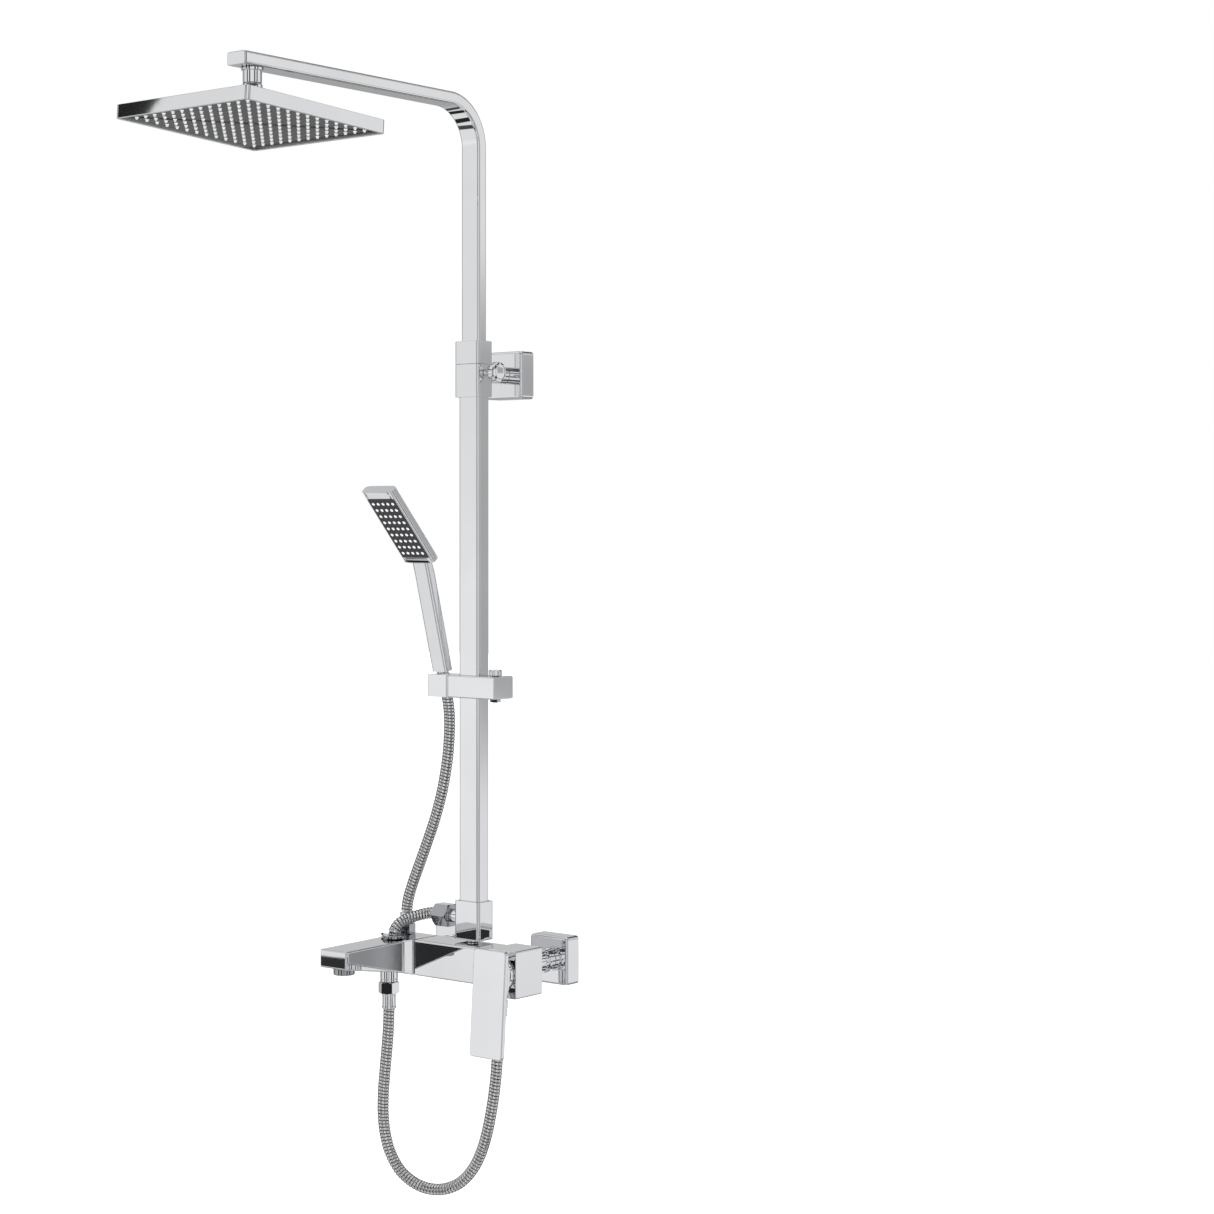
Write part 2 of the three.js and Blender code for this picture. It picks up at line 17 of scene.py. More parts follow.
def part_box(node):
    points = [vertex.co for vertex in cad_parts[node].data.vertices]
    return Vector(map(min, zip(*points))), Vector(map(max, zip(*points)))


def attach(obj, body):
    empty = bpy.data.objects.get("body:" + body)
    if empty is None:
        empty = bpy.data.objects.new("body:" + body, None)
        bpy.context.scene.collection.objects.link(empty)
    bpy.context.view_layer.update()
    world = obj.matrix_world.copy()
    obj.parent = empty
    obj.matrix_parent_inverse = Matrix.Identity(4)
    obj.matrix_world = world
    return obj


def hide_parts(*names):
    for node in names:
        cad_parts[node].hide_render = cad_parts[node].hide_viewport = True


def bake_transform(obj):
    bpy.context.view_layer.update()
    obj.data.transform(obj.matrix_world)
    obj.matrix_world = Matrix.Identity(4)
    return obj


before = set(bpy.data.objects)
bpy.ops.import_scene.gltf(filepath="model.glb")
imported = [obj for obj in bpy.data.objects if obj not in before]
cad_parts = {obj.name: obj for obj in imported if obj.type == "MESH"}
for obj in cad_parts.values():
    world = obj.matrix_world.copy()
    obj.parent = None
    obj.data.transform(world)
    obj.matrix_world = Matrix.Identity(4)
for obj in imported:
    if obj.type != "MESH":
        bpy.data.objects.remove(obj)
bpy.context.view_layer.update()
MM = 0.001
WELD = 2e-6
INLET_HOLE = 12.6 * MM
STEM_HOLE = 10.6 * MM

log = logging.getLogger("shower_column")

Profile = Sequence[tuple[float, float]]


# ---- Directions ---------------------------------------------------------------------------

class Facing(Enum):
    """The direction that a turned or hexagonal piece points in."""

    UP = (0.0, 0.0, 1.0)
    DOWN = (0.0, 0.0, -1.0)
    OUT = (0.0, -1.0, 0.0)
    RIGHT = (1.0, 0.0, 0.0)

    @property
    def along(self) -> Vector:
        """The direction itself."""
        return Vector(self.value)

    @property
    def across(self) -> Vector:
        """A direction square to it."""
        return Vector((0.0, 1.0, 0.0)) if self is not Facing.OUT else Vector((0.0, 0.0, 1.0))

    @property
    def turn(self) -> tuple[float, float, float]:
        """The rotation that brings an upright primitive round to it."""
        return {
            Facing.UP: (0.0, 0.0, 0.0),
            Facing.DOWN: (math.pi, 0.0, 0.0),
            Facing.OUT: (math.pi / 2, 0.0, 0.0),
            Facing.RIGHT: (0.0, math.pi / 2, 0.0),
        }[self]


# ---- Finishes -----------------------------------------------------------------------------

@dataclass(frozen=True)
class Finish:
    """A metal, plastic or rubber surface with uneven gloss and a faint relief.

    Grain sizes are the wavelengths of the unevenness, in metres.
    """

    name: str
    slot: str
    color: tuple[float, float, float]
    metallic: float
    roughness: tuple[float, float]
    cloud: float
    ripple: float
    relief: float
    tint: float = 0.03
    rim: float = 1.0

    def material(self) -> bpy.types.Material:
        """Returns the finish's material, made on first use."""
        found = bpy.data.materials.get(self.name)
        if found:
            return found
        made = bpy.data.materials.new(self.name)
        made.use_nodes = True
        tree = made.node_tree
        shader = tree.nodes["Principled BSDF"]
        shader.inputs["Metallic"].default_value = self.metallic
        shader.inputs["Specular Tint"].default_value = (self.rim, self.rim, self.rim, 1)
        place = tree.nodes.new("ShaderNodeTexCoord").outputs["Object"]
        cloud = self.noise(tree, place, self.cloud)
        self.shade(tree, shader, cloud)
        gloss = tree.nodes.new("ShaderNodeMapRange")
        gloss.inputs["To Min"].default_value, gloss.inputs["To Max"].default_value = self.roughness
        tree.links.new(cloud, gloss.inputs["Value"])
        tree.links.new(gloss.outputs["Result"], shader.inputs["Roughness"])
        bump = tree.nodes.new("ShaderNodeBump")
        bump.inputs["Strength"].default_value = 1.0
        bump.inputs["Distance"].default_value = self.relief
        tree.links.new(self.noise(tree, place, self.ripple), bump.inputs["Height"])
        tree.links.new(bump.outputs["Normal"], shader.inputs["Normal"])
        return made

    def noise(self, tree: bpy.types.NodeTree, place: bpy.types.NodeSocket, size: float) -> bpy.types.NodeSocket:
        """Adds a noise pattern.

        Args:
            tree: The material's nodes.
            place: The coordinates that the pattern lies on.
            size: The pattern's wavelength in metres.

        Returns:
            The pattern's value socket.
        """
        node = tree.nodes.new("ShaderNodeTexNoise")
        node.inputs["Scale"].default_value = 1 / size
        node.inputs["Detail"].default_value = 3
        tree.links.new(place, node.inputs["Vector"])
        return node.outputs["Fac"]

    def shade(self, tree: bpy.types.NodeTree, shader: bpy.types.Node, cloud: bpy.types.NodeSocket) -> None:
        """Varies the colour slightly with the cloud pattern."""
        ramp = tree.nodes.new("ShaderNodeValToRGB")
        low, high = ramp.color_ramp.elements
        low.position, high.position = 0.3, 0.7
        low.color = (*[c * (1 - self.tint) for c in self.color], 1)
        high.color = (*[min(c * (1 + self.tint), 1) for c in self.color], 1)
        tree.links.new(cloud, ramp.inputs["Fac"])
        tree.links.new(ramp.outputs["Color"], shader.inputs["Base Color"])


CHROME = Finish("polished_chrome", "chrome", (0.86, 0.87, 0.89), 1.0, (0.015, 0.035), 0.09, 0.035, 0.00001, rim=0.7)
DARK_CHROME = Finish("dark_chrome", "dark_chrome", (0.55, 0.555, 0.565), 1.0, (0.08, 0.16), 0.02, 0.002, 0.00001)
SPRAY_PLATE = Finish("spray_plate", "head_plate", (0.16, 0.163, 0.17), 1.0, (0.06, 0.12), 0.05, 0.02, 0.00002,
                     rim=0.55)
NOZZLE = Finish("nozzle_rubber", "nozzle_rubber", (0.5, 0.51, 0.52), 0.0, (0.35, 0.5), 0.004, 0.001, 0.00002)
BLACK_PLASTIC = Finish("black_plastic", "black_plastic", (0.012, 0.012, 0.014), 0.0, (0.25, 0.4), 0.01, 0.0012,
                       0.00002)
SEAL = Finish("seal_rubber", "seal_rubber", (0.02, 0.02, 0.022), 0.0, (0.55, 0.7), 0.008, 0.0015, 0.00003)
# Near-black metal laid into the hose's grooves: painted shade between the wound strips, not a colour of the steel.
HOSE_PAINTED_GROOVE_SHADE = Finish("wound_steel_painted_groove_shade", "hose_steel", (0.04, 0.04, 0.045), 1.0, (0.25, 0.4), 0.012, 0.0009, 0.00003)
HOSE_STEEL = Finish("wound_steel", "hose_steel", (0.8, 0.805, 0.815), 1.0, (0.03, 0.08), 0.012, 0.0009, 0.00003,
                    rim=0.12)


# ---- Bench: the modelling moves that the pieces share -------------------------------------

def clear_selection() -> None:
    """Deselects every object."""
    if bpy.context.mode != "OBJECT":
        bpy.ops.object.mode_set(mode="OBJECT")
    bpy.ops.object.select_all(action="DESELECT")


def take_up(piece: bpy.types.Object) -> None:
    """Makes a piece the only selected one."""
    clear_selection()
    piece.select_set(True)
    bpy.context.view_layer.objects.active = piece


def settle(piece: bpy.types.Object) -> bpy.types.Object:
    """Moves a piece's place into its mesh, so that its object sits at the origin."""
    take_up(piece)
    bpy.ops.object.transform_apply(location=True, rotation=True, scale=True)
    return piece


def edit(piece: bpy.types.Object, mode: str = "FACE") -> None:
    """Opens a piece in edit mode with nothing selected."""
    take_up(piece)
    bpy.ops.object.mode_set(mode="EDIT")
    bpy.ops.mesh.select_mode(type=mode)
    bpy.ops.mesh.select_all(action="DESELECT")


def pick_faces(piece: bpy.types.Object, keep: Callable[[Vector, Vector], bool]) -> int:
    """Selects faces in edit mode.

    Args:
        piece: The piece being edited.
        keep: Says from a face's centre and normal whether it is wanted.

    Returns:
        How many faces were selected.
    """
    bpy.ops.object.mode_set(mode="OBJECT")
    found = 0
    for face in piece.data.polygons:
        face.select = keep(face.center, face.normal)
        found += face.select
    bpy.ops.object.mode_set(mode="EDIT")
    return found


def pick_edges(piece: bpy.types.Object, keep: Callable[[Vector, Vector], bool]) -> int:
    """Selects edges in edit mode.

    Args:
        piece: The piece being edited.
        keep: Says from an edge's middle and direction whether it is wanted.

    Returns:
        How many edges were selected.
    """
    bpy.ops.object.mode_set(mode="OBJECT")
    mesh = piece.data
    for face in mesh.polygons:
        face.select = False
    for vertex in mesh.vertices:
        vertex.select = False
    found = 0
    for edge in mesh.edges:
        a, b = (mesh.vertices[i].co for i in edge.vertices)
        edge.select = keep((a + b) / 2, (b - a).normalized())
        found += edge.select
    bpy.ops.object.mode_set(mode="EDIT")
    return found


def modify(piece: bpy.types.Object, kind: str, **settings: object) -> bpy.types.Object:
    """Adds a modifier with these settings and applies it."""
    take_up(piece)
    modifier = piece.modifiers.new(kind.lower(), kind)
    for name, value in settings.items():
        setattr(modifier, name, value)
    bpy.ops.object.modifier_apply(modifier=modifier.name)
    return piece


def cuboid(name: str, low: Sequence[float], high: Sequence[float], corner: float = 0.0,
           along: Facing = Facing.UP) -> bpy.types.Object:
    """Makes a block, with its four edges along one direction rounded.

    Args:
        name: The piece's name.
        low: Its lowest corner.
        high: Its highest corner.
        corner: Radius of the rounded edges, or 0 for none.
        along: The direction that the rounded edges run in.

    Returns:
        The block.
    """
    clear_selection()
    low, high = Vector(low), Vector(high)
    bpy.ops.mesh.primitive_cube_add(size=1, location=(low + high) / 2)
    piece = bpy.context.object
    piece.name = name
    piece.scale = high - low
    settle(piece)
    if corner > 0:
        edit(piece, "EDGE")
        pick_edges(piece, lambda _, way: abs(way.dot(along.along)) > 0.9)
        bpy.ops.mesh.bevel(offset=corner, segments=5, profile=0.5, affect="EDGES")
        bpy.ops.object.mode_set(mode="OBJECT")
    return piece


def turned(name: str, centre: Sequence[float], profile: Profile, facing: Facing = Facing.UP,
           steps: int = 48) -> bpy.types.Object:
    """Makes a turned piece: a profile spun a full turn.

    Args:
        name: The piece's name.
        centre: A point on the axis, from which heights are measured.
        profile: (radius, height) points. It starts and ends on the axis, or comes back to its start.
        facing: The axis's direction.
        steps: How many steps the turn has.

    Returns:
        The turned piece.
    """
    clear_selection()
    spot = [Vector(centre) + facing.across * r + facing.along * h for r, h in profile]
    bpy.ops.mesh.primitive_plane_add(size=0.01, location=spot[0])
    piece = bpy.context.object
    piece.name = name
    settle(piece)
    edit(piece, "VERT")
    bpy.ops.mesh.select_all(action="SELECT")
    bpy.ops.mesh.merge(type="CENTER")
    for here, there in zip(spot, spot[1:]):
        bpy.ops.mesh.extrude_vertices_move(TRANSFORM_OT_translate={"value": there - here})
    bpy.ops.mesh.select_all(action="SELECT")
    bpy.ops.mesh.spin(steps=steps, angle=2 * math.pi, center=centre, axis=facing.along)
    bpy.ops.mesh.select_all(action="SELECT")
    bpy.ops.mesh.remove_doubles(threshold=WELD)
    bpy.ops.mesh.normals_make_consistent(inside=False)
    bpy.ops.object.mode_set(mode="OBJECT")
    return piece


def grow(shift: Sequence[float], centre: Vector, scale: Sequence[float] = (1, 1, 1), lean: float = 0.0) -> Vector:
    """Extrudes the selected faces, then resizes and leans the new end.

    Args:
        shift: How far the end moves.
        centre: The end's centre before the move.
        scale: How much it is resized about its centre.
        lean: How far it turns about +X, in radians.

    Returns:
        The end's new centre.
    """
    there = centre + Vector(shift)
    bpy.ops.mesh.extrude_region_move(TRANSFORM_OT_translate={"value": shift})
    bpy.ops.transform.resize(value=scale, center_override=there)
    if lean:
        bpy.ops.transform.rotate(value=-lean, orient_axis="X", center_override=there)
    return there


def carve(piece: bpy.types.Object, *cutters: bpy.types.Object, how: str = "DIFFERENCE") -> bpy.types.Object:
    """Cuts other shapes out of a piece, or joins them to it, and removes them."""
    for cutter in cutters:
        modify(piece, "BOOLEAN", operation=how, solver="EXACT", object=cutter)
        bpy.data.objects.remove(cutter)
    return piece


def soften(piece: bpy.types.Object, width: float, segments: int = 3, angle: float = 30.0) -> bpy.types.Object:
    """Rounds a piece's sharp edges and evens its shading, so that flats reflect as flats."""
    modify(piece, "BEVEL", width=width, segments=segments, limit_method="ANGLE",
           angle_limit=math.radians(angle), use_clamp_overlap=True)
    take_up(piece)
    bpy.ops.object.shade_smooth_by_angle(angle=math.radians(38))
    return modify(piece, "WEIGHTED_NORMAL", mode="FACE_AREA", weight=80, keep_sharp=True)


def lean_about(piece: bpy.types.Object, angle: float, pivot: Sequence[float]) -> bpy.types.Object:
    """Turns a finished mesh about +X through a pivot, angle in radians."""
    pivot = Vector(pivot)
    piece.matrix_world = Matrix.Translation(pivot) @ Matrix.Rotation(angle, 4, "X") @ Matrix.Translation(-pivot)
    return settle(piece)


def dress(piece: bpy.types.Object, finish: Finish, body: str, *nodes: str) -> bpy.types.Object:
    """Gives a piece its finish, its body and the frame nodes that it stands for."""
    if not piece.data.materials:
        piece.data.materials.append(finish.material())
    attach(piece, body)
    if nodes:
        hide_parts(*nodes)
    log.info("%s rides on %s, %d faces", piece.name, body, len(piece.data.polygons))
    return piece


def carried_over(node: str, finish: Finish) -> None:
    """Keeps a frame node as it is and gives it a finish."""
    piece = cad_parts[node]
    piece.data.materials.clear()
    piece.data.materials.append(finish.material())
    log.info("%s is carried over", node)


def hexagon(name: str, node: str, facing: Facing, bore: float = 0.0, soft: float = 0.25) -> bpy.types.Object:
    """Makes a hexagon nut in a frame node's box, with turned corners.

    Args:
        name: The nut's name.
        node: The frame node that it fills.
        facing: Its axis.
        bore: Radius of a hole through it, or 0 for none.
        soft: Width of its edge rounding, in millimetres.

    Returns:
        The nut.
    """
    low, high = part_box(node)
    centre, size = (low + high) / 2, high - low
    length = abs(size.dot(facing.along))
    flats = size.z if facing is Facing.RIGHT else size.x
    corners = flats / math.sqrt(3)
    clear_selection()
    bpy.ops.mesh.primitive_cylinder_add(vertices=6, radius=corners, depth=length, location=centre,
                                        rotation=facing.turn)
    nut = bpy.context.object
    nut.name = name
    settle(nut)
    slope = (corners - flats / 2) * 0.9
    start = centre - facing.along * (length / 2)
    core = turned(name + "_core", start, [(0, -MM), (flats / 2 - MM * 0.6, -MM), (flats / 2, 0),
                                          (corners, slope * 0.7),
                                          (corners, length - slope * 0.7), (flats / 2, length),
                                          (flats / 2 - MM * 0.6, length + MM), (0, length + MM)], facing)
    carve(nut, core, how="INTERSECT")
    if bore:
        carve(nut, turned(name + "_bore", start, [(0, -MM), (bore, -MM), (bore, length + MM), (0, length + MM)],
                          facing))
    return soften(nut, soft * MM, 2)


# ---- Wall fittings ------------------------------------------------------------------------

@dataclass
class WallFitting:
    """A square cover on the wall, and for a water inlet the union and nut behind the mixer."""

    side: str
    wall: float = 2 * MM
    corner: float = 4.2 * MM
    edge: float = 3.2 * MM
    inlet_bore: float = 7.5 * MM

    def cover(self, hole: float) -> None:
        """Builds the hollow square cover."""
        node = f"escutcheon_{self.side}"
        low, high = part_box(node)
        centre = (low + high) / 2
        shell = cuboid(f"cover_{self.side}", low, high, self.corner, Facing.OUT)
        edit(shell, "EDGE")
        pick_edges(shell, lambda middle, way: middle.y < low.y + 0.1 * MM and abs(way.y) < 0.1)
        bpy.ops.mesh.bevel(offset=self.edge, segments=5, profile=0.5, affect="EDGES")
        bpy.ops.object.mode_set(mode="OBJECT")
        inside = cuboid("inside", low + Vector((self.wall, self.wall, self.wall)),
                        high + Vector((-self.wall, MM, -self.wall)), self.corner - self.wall, Facing.OUT)
        bore = turned("bore", (centre.x, 0, centre.z), [(0, -MM), (hole, -MM), (hole, 30 * MM), (0, 30 * MM)],
                      Facing.OUT)
        carve(shell, inside, bore)
        dress(soften(shell, 0.3 * MM, 2), CHROME, "root", node)

    def inlet(self) -> None:
        """Builds the union out of the wall and the nut that draws the mixer to it."""
        node = f"inlet_union_{self.side}"
        low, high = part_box(node)
        centre = (low + high) / 2
        out = high.y - low.y
        bore = self.inlet_bore
        union = turned(node + "_turned", (centre.x, 0, centre.z),
                       [(bore, 0), (12 * MM, 0), (12 * MM, 30 * MM), (14 * MM, 30 * MM), (14 * MM, 34 * MM),
                        (11.5 * MM, 34 * MM), (11.5 * MM, out), (bore, out), (bore, 0)], Facing.OUT)
        dress(soften(union, 0.4 * MM, 2), CHROME, "root", node)
        nut = f"union_nut_{self.side}"
        dress(hexagon(nut + "_hex", nut, Facing.OUT, 8 * MM), CHROME, "root", nut)


# ---- Mixer --------------------------------------------------------------------------------

@dataclass
class Mixer:
    """The bar between the inlets, with the valve hub at its right end."""

    edge: float = 1.2 * MM
    corner: float = 2.2 * MM
    recess: float = 18.8 * MM
    recess_depth: float = 4.3 * MM
    valve: tuple[float, float] = (82 * MM, -3.5 * MM)

    def bar(self) -> None:
        """Builds the bar and keeps the seal at its left end."""
        low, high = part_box("mixer_bar")
        bar = cuboid("bar", low, high, self.corner, Facing.RIGHT)
        dress(soften(bar, 1.1 * MM), CHROME, "root", "mixer_bar")
        carried_over("spout_seal", SEAL)

    def hub(self) -> None:
        """Builds the hub block with its round recess, and the nut that holds the cartridge in it."""
        low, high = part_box("hub_block")
        hub = cuboid("hub", low, high, self.corner, Facing.OUT)
        x, z = self.valve
        mouth = -low.y
        carve(hub, turned("recess", (x, 0, z), [(0, mouth - self.recess_depth),
                                                  (self.recess, mouth - self.recess_depth),
                                               (self.recess, mouth + 5 * MM), (0, mouth + 5 * MM)], Facing.OUT, 64))
        dress(soften(hub, 1.3 * MM), CHROME, "root", "hub_block")
        near, far = -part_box("cartridge_nut")[1].y, -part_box("cartridge_nut")[0].y
        inner, outer = 14.3 * MM, 18.4 * MM
        nut = turned("retaining_nut", (x, 0, z), [(inner, near), (outer, near), (outer, far - 1.6 * MM),
                                                  (outer - 1.4 * MM, far), (inner, far), (inner, near)],
                      Facing.OUT, 64)
        dress(soften(nut, 0.3 * MM, 2), CHROME, "root", "cartridge_nut")


@dataclass
class Lever:
    """The flat lever plate on its stem, with the turning cap round the stem."""

    pivot: tuple[float, float, float] = (82 * MM, -135 * MM, -3.5 * MM)
    width: float = 47.8 * MM
    above: float = 29.7 * MM
    below: float = 91.3 * MM
    thick: float = 6 * MM
    lean: float = math.radians(-3.8)
    hub_width: float = 40 * MM
    hub_foot: tuple[float, float] = (-37 * MM, 27 * MM)
    hub_top: tuple[float, float] = (-9 * MM, 7 * MM)
    hub_reach: float = 8.7 * MM

    def cap(self) -> None:
        """Builds the cap that turns with the lever."""
        x, _, z = self.pivot
        low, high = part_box("cartridge_cap")
        near, far = -high.y, -low.y
        cap = turned("valve_cap", (x, 0, z), [(9.5 * MM, near), (13.9 * MM, near), (13.9 * MM, far - 1.5 * MM),
                                              (12.5 * MM, far), (9.5 * MM, far), (9.5 * MM, near)], Facing.OUT)
        dress(soften(cap, 0.3 * MM, 2), BLACK_PLASTIC, "cartridge", "cartridge_cap")
        low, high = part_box("lever_stem")
        near, far = -high.y, -low.y
        stem = turned("valve_stem", (x, 0, z), [(0, near), (4.6 * MM, near), (5 * MM, near + 0.4 * MM),
                                                (5 * MM, far - 3 * MM), (4.2 * MM, far - 2.4 * MM), (4.2 * MM, far),
                                                (0, far)], Facing.OUT)
        dress(soften(stem, 0.2 * MM, 2), BLACK_PLASTIC, "lever", "lever_stem")

    def plate(self) -> None:
        """Builds the plate, its faceted hub, and leans them as one."""
        x, front, z = self.pivot
        back = front + self.thick
        half = self.width / 2
        plate = cuboid("lever_plate", (x - half, front, z - self.below), (x + half, back, z + self.above),
                       4 * MM, Facing.OUT)
        foot_low, foot_high = self.hub_foot
        top_low, top_high = self.hub_top
        hub = cuboid("lever_hub", (x - self.hub_width / 2, back - 2 * MM, z + foot_low),
                     (x + self.hub_width / 2, back, z + foot_high))
        edit(hub)
        pick_faces(hub, lambda _, normal: normal.y > 0.9)
        centre = Vector((x, back, z + (foot_low + foot_high) / 2))
        shift = (0, self.hub_reach, (top_low + top_high - foot_low - foot_high) / 2)
        grow(shift, centre, (1, 1, (top_high - top_low) / (foot_high - foot_low)))
        bpy.ops.object.mode_set(mode="OBJECT")
        carve(plate, hub, how="UNION")
        soften(plate, 1.2 * MM)
        dress(lean_about(plate, self.lean, self.pivot), CHROME, "lever", "lever")


# ---- Spout and diverter -------------------------------------------------------------------

@dataclass
class Spout:
    """The block at the mixer's left end that runs out into the flat spout."""

    front: float = -110 * MM
    root: float = -119 * MM
    right: float = -64.2 * MM
    root_low: float = -17.4 * MM
    tip_low: float = -2.4 * MM
    top_drop: float = 1.1 * MM
    aerator: tuple[float, float] = (-85.35 * MM, -195 * MM)
    loop_outlet: tuple[float, float, float] = (-85 * MM, -121 * MM, -8 * MM)

    def body(self) -> None:
        """Builds the block, draws the spout out of its front, and cuts both holes under it."""
        low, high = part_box("spout")
        block = cuboid("spout_body", (low.x, self.front, low.z), high)
        edit(block)
        pick_faces(block, lambda _, normal: normal.y < -0.9)
        centre = Vector(((low.x + high.x) / 2, self.front, 0))
        size = high - low
        width, root_top = self.right - low.x, high.z - self.top_drop
        root_centre = Vector(((low.x + self.right) / 2, self.root, (self.root_low + root_top) / 2))
        grow(root_centre - centre, centre, (width / size.x, 1, (root_top - self.root_low) / size.z))
        tip_top = root_top - self.top_drop
        tip_centre = Vector((root_centre.x, low.y, (self.tip_low + tip_top) / 2))
        grow(tip_centre - root_centre, root_centre, (1, 1, (tip_top - self.tip_low) / (root_top - self.root_low)))
        bpy.ops.object.mode_set(mode="OBJECT")
        soften(block, 1.9 * MM, 4, 20)
        x, y = self.aerator
        mouth = turned("mouth", (x, y, 0), [(0, -30 * MM), (12.8 * MM, -30 * MM), (12.8 * MM, 4 * MM), (0, 4 * MM)])
        x, y, top = self.loop_outlet
        socket = turned("socket", (x, y, 0), [(0, -40 * MM), (10.8 * MM, -40 * MM), (10.8 * MM, top), (0, top)])
        carve(block, mouth, socket)
        take_up(block)
        bpy.ops.object.shade_smooth_by_angle(angle=math.radians(30))
        modify(block, "WEIGHTED_NORMAL", mode="FACE_AREA", weight=80, keep_sharp=True)
        dress(block, CHROME, "root", "spout")

    def outlet(self) -> None:
        """Builds the aerator under the tip, with rings round its middle."""
        x, y = self.aerator
        low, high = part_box("aerator")
        sink = low.z + 2.5 * MM
        rings: list[tuple[float, float]] = [(0, sink)]
        for radius in (1.5, 3.5, 5.5, 7.5):
            rings += [(radius * MM, sink), (radius * MM, sink - 0.6 * MM), ((radius + 0.8) * MM, sink - 0.6 * MM),
                      ((radius + 0.8) * MM, sink)]
        rim = [(9.3 * MM, sink), (9.8 * MM, low.z), (11.8 * MM, low.z), (12.5 * MM, low.z + MM), (12.5 * MM, high.z),
               (0, high.z)]
        dress(soften(turned("aerator_insert", (x, y, 0), rings + rim), 0.15 * MM, 2), DARK_CHROME, "root", "aerator")


@dataclass
class Diverter:
    """The flange on top of the block, with its pin and ball, and the nipple in its middle."""

    centre: tuple[float, float] = (-85 * MM, -112 * MM)
    pin_lift: float = 1.8 * MM

    def build(self) -> None:
        """Builds the nipple, the flange with its pin, and the black ball."""
        x, y = self.centre
        low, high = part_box("top_nipple")
        nipple = turned("outlet_nipple", (x, y, 0), [(4 * MM, low.z), (7.1 * MM, low.z), (7.1 * MM, high.z),
                                                     (4 * MM, high.z), (4 * MM, low.z)])
        dress(soften(nipple, 0.2 * MM, 2), CHROME, "root", "top_nipple")
        low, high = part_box("diverter_ring")
        top = low.z + 3 * MM
        flange = turned("diverter_flange", (x, y, 0), [(7.5 * MM, low.z), (14 * MM, low.z), (14 * MM, top - 0.8 * MM),
                                                       (13.2 * MM, top), (7.5 * MM, top), (7.5 * MM, low.z)])
        level = low.z + self.pin_lift
        pin = turned("pin", (x, y, level), [(0, -18.5 * MM), (1.3 * MM, -18.5 * MM), (1.3 * MM, -13 * MM),
                                            (0, -13 * MM)], Facing.RIGHT, 16)
        carve(flange, pin, how="UNION")
        dress(soften(flange, 0.2 * MM, 2), DARK_CHROME, "diverter", "diverter_ring")
        reach = 1.8
        arc = [(reach * math.sin(a), -19 - reach * math.cos(a)) for a in (math.pi * k / 12 for k in range(13))]
        ball = turned("diverter_ball", (x, y, level), [(max(r, 0) * MM, h * MM) for r, h in arc], Facing.RIGHT, 24)
        dress(soften(ball, 0.05 * MM, 1, 60), BLACK_PLASTIC, "diverter")


# ---- Hoses --------------------------------------------------------------------------------

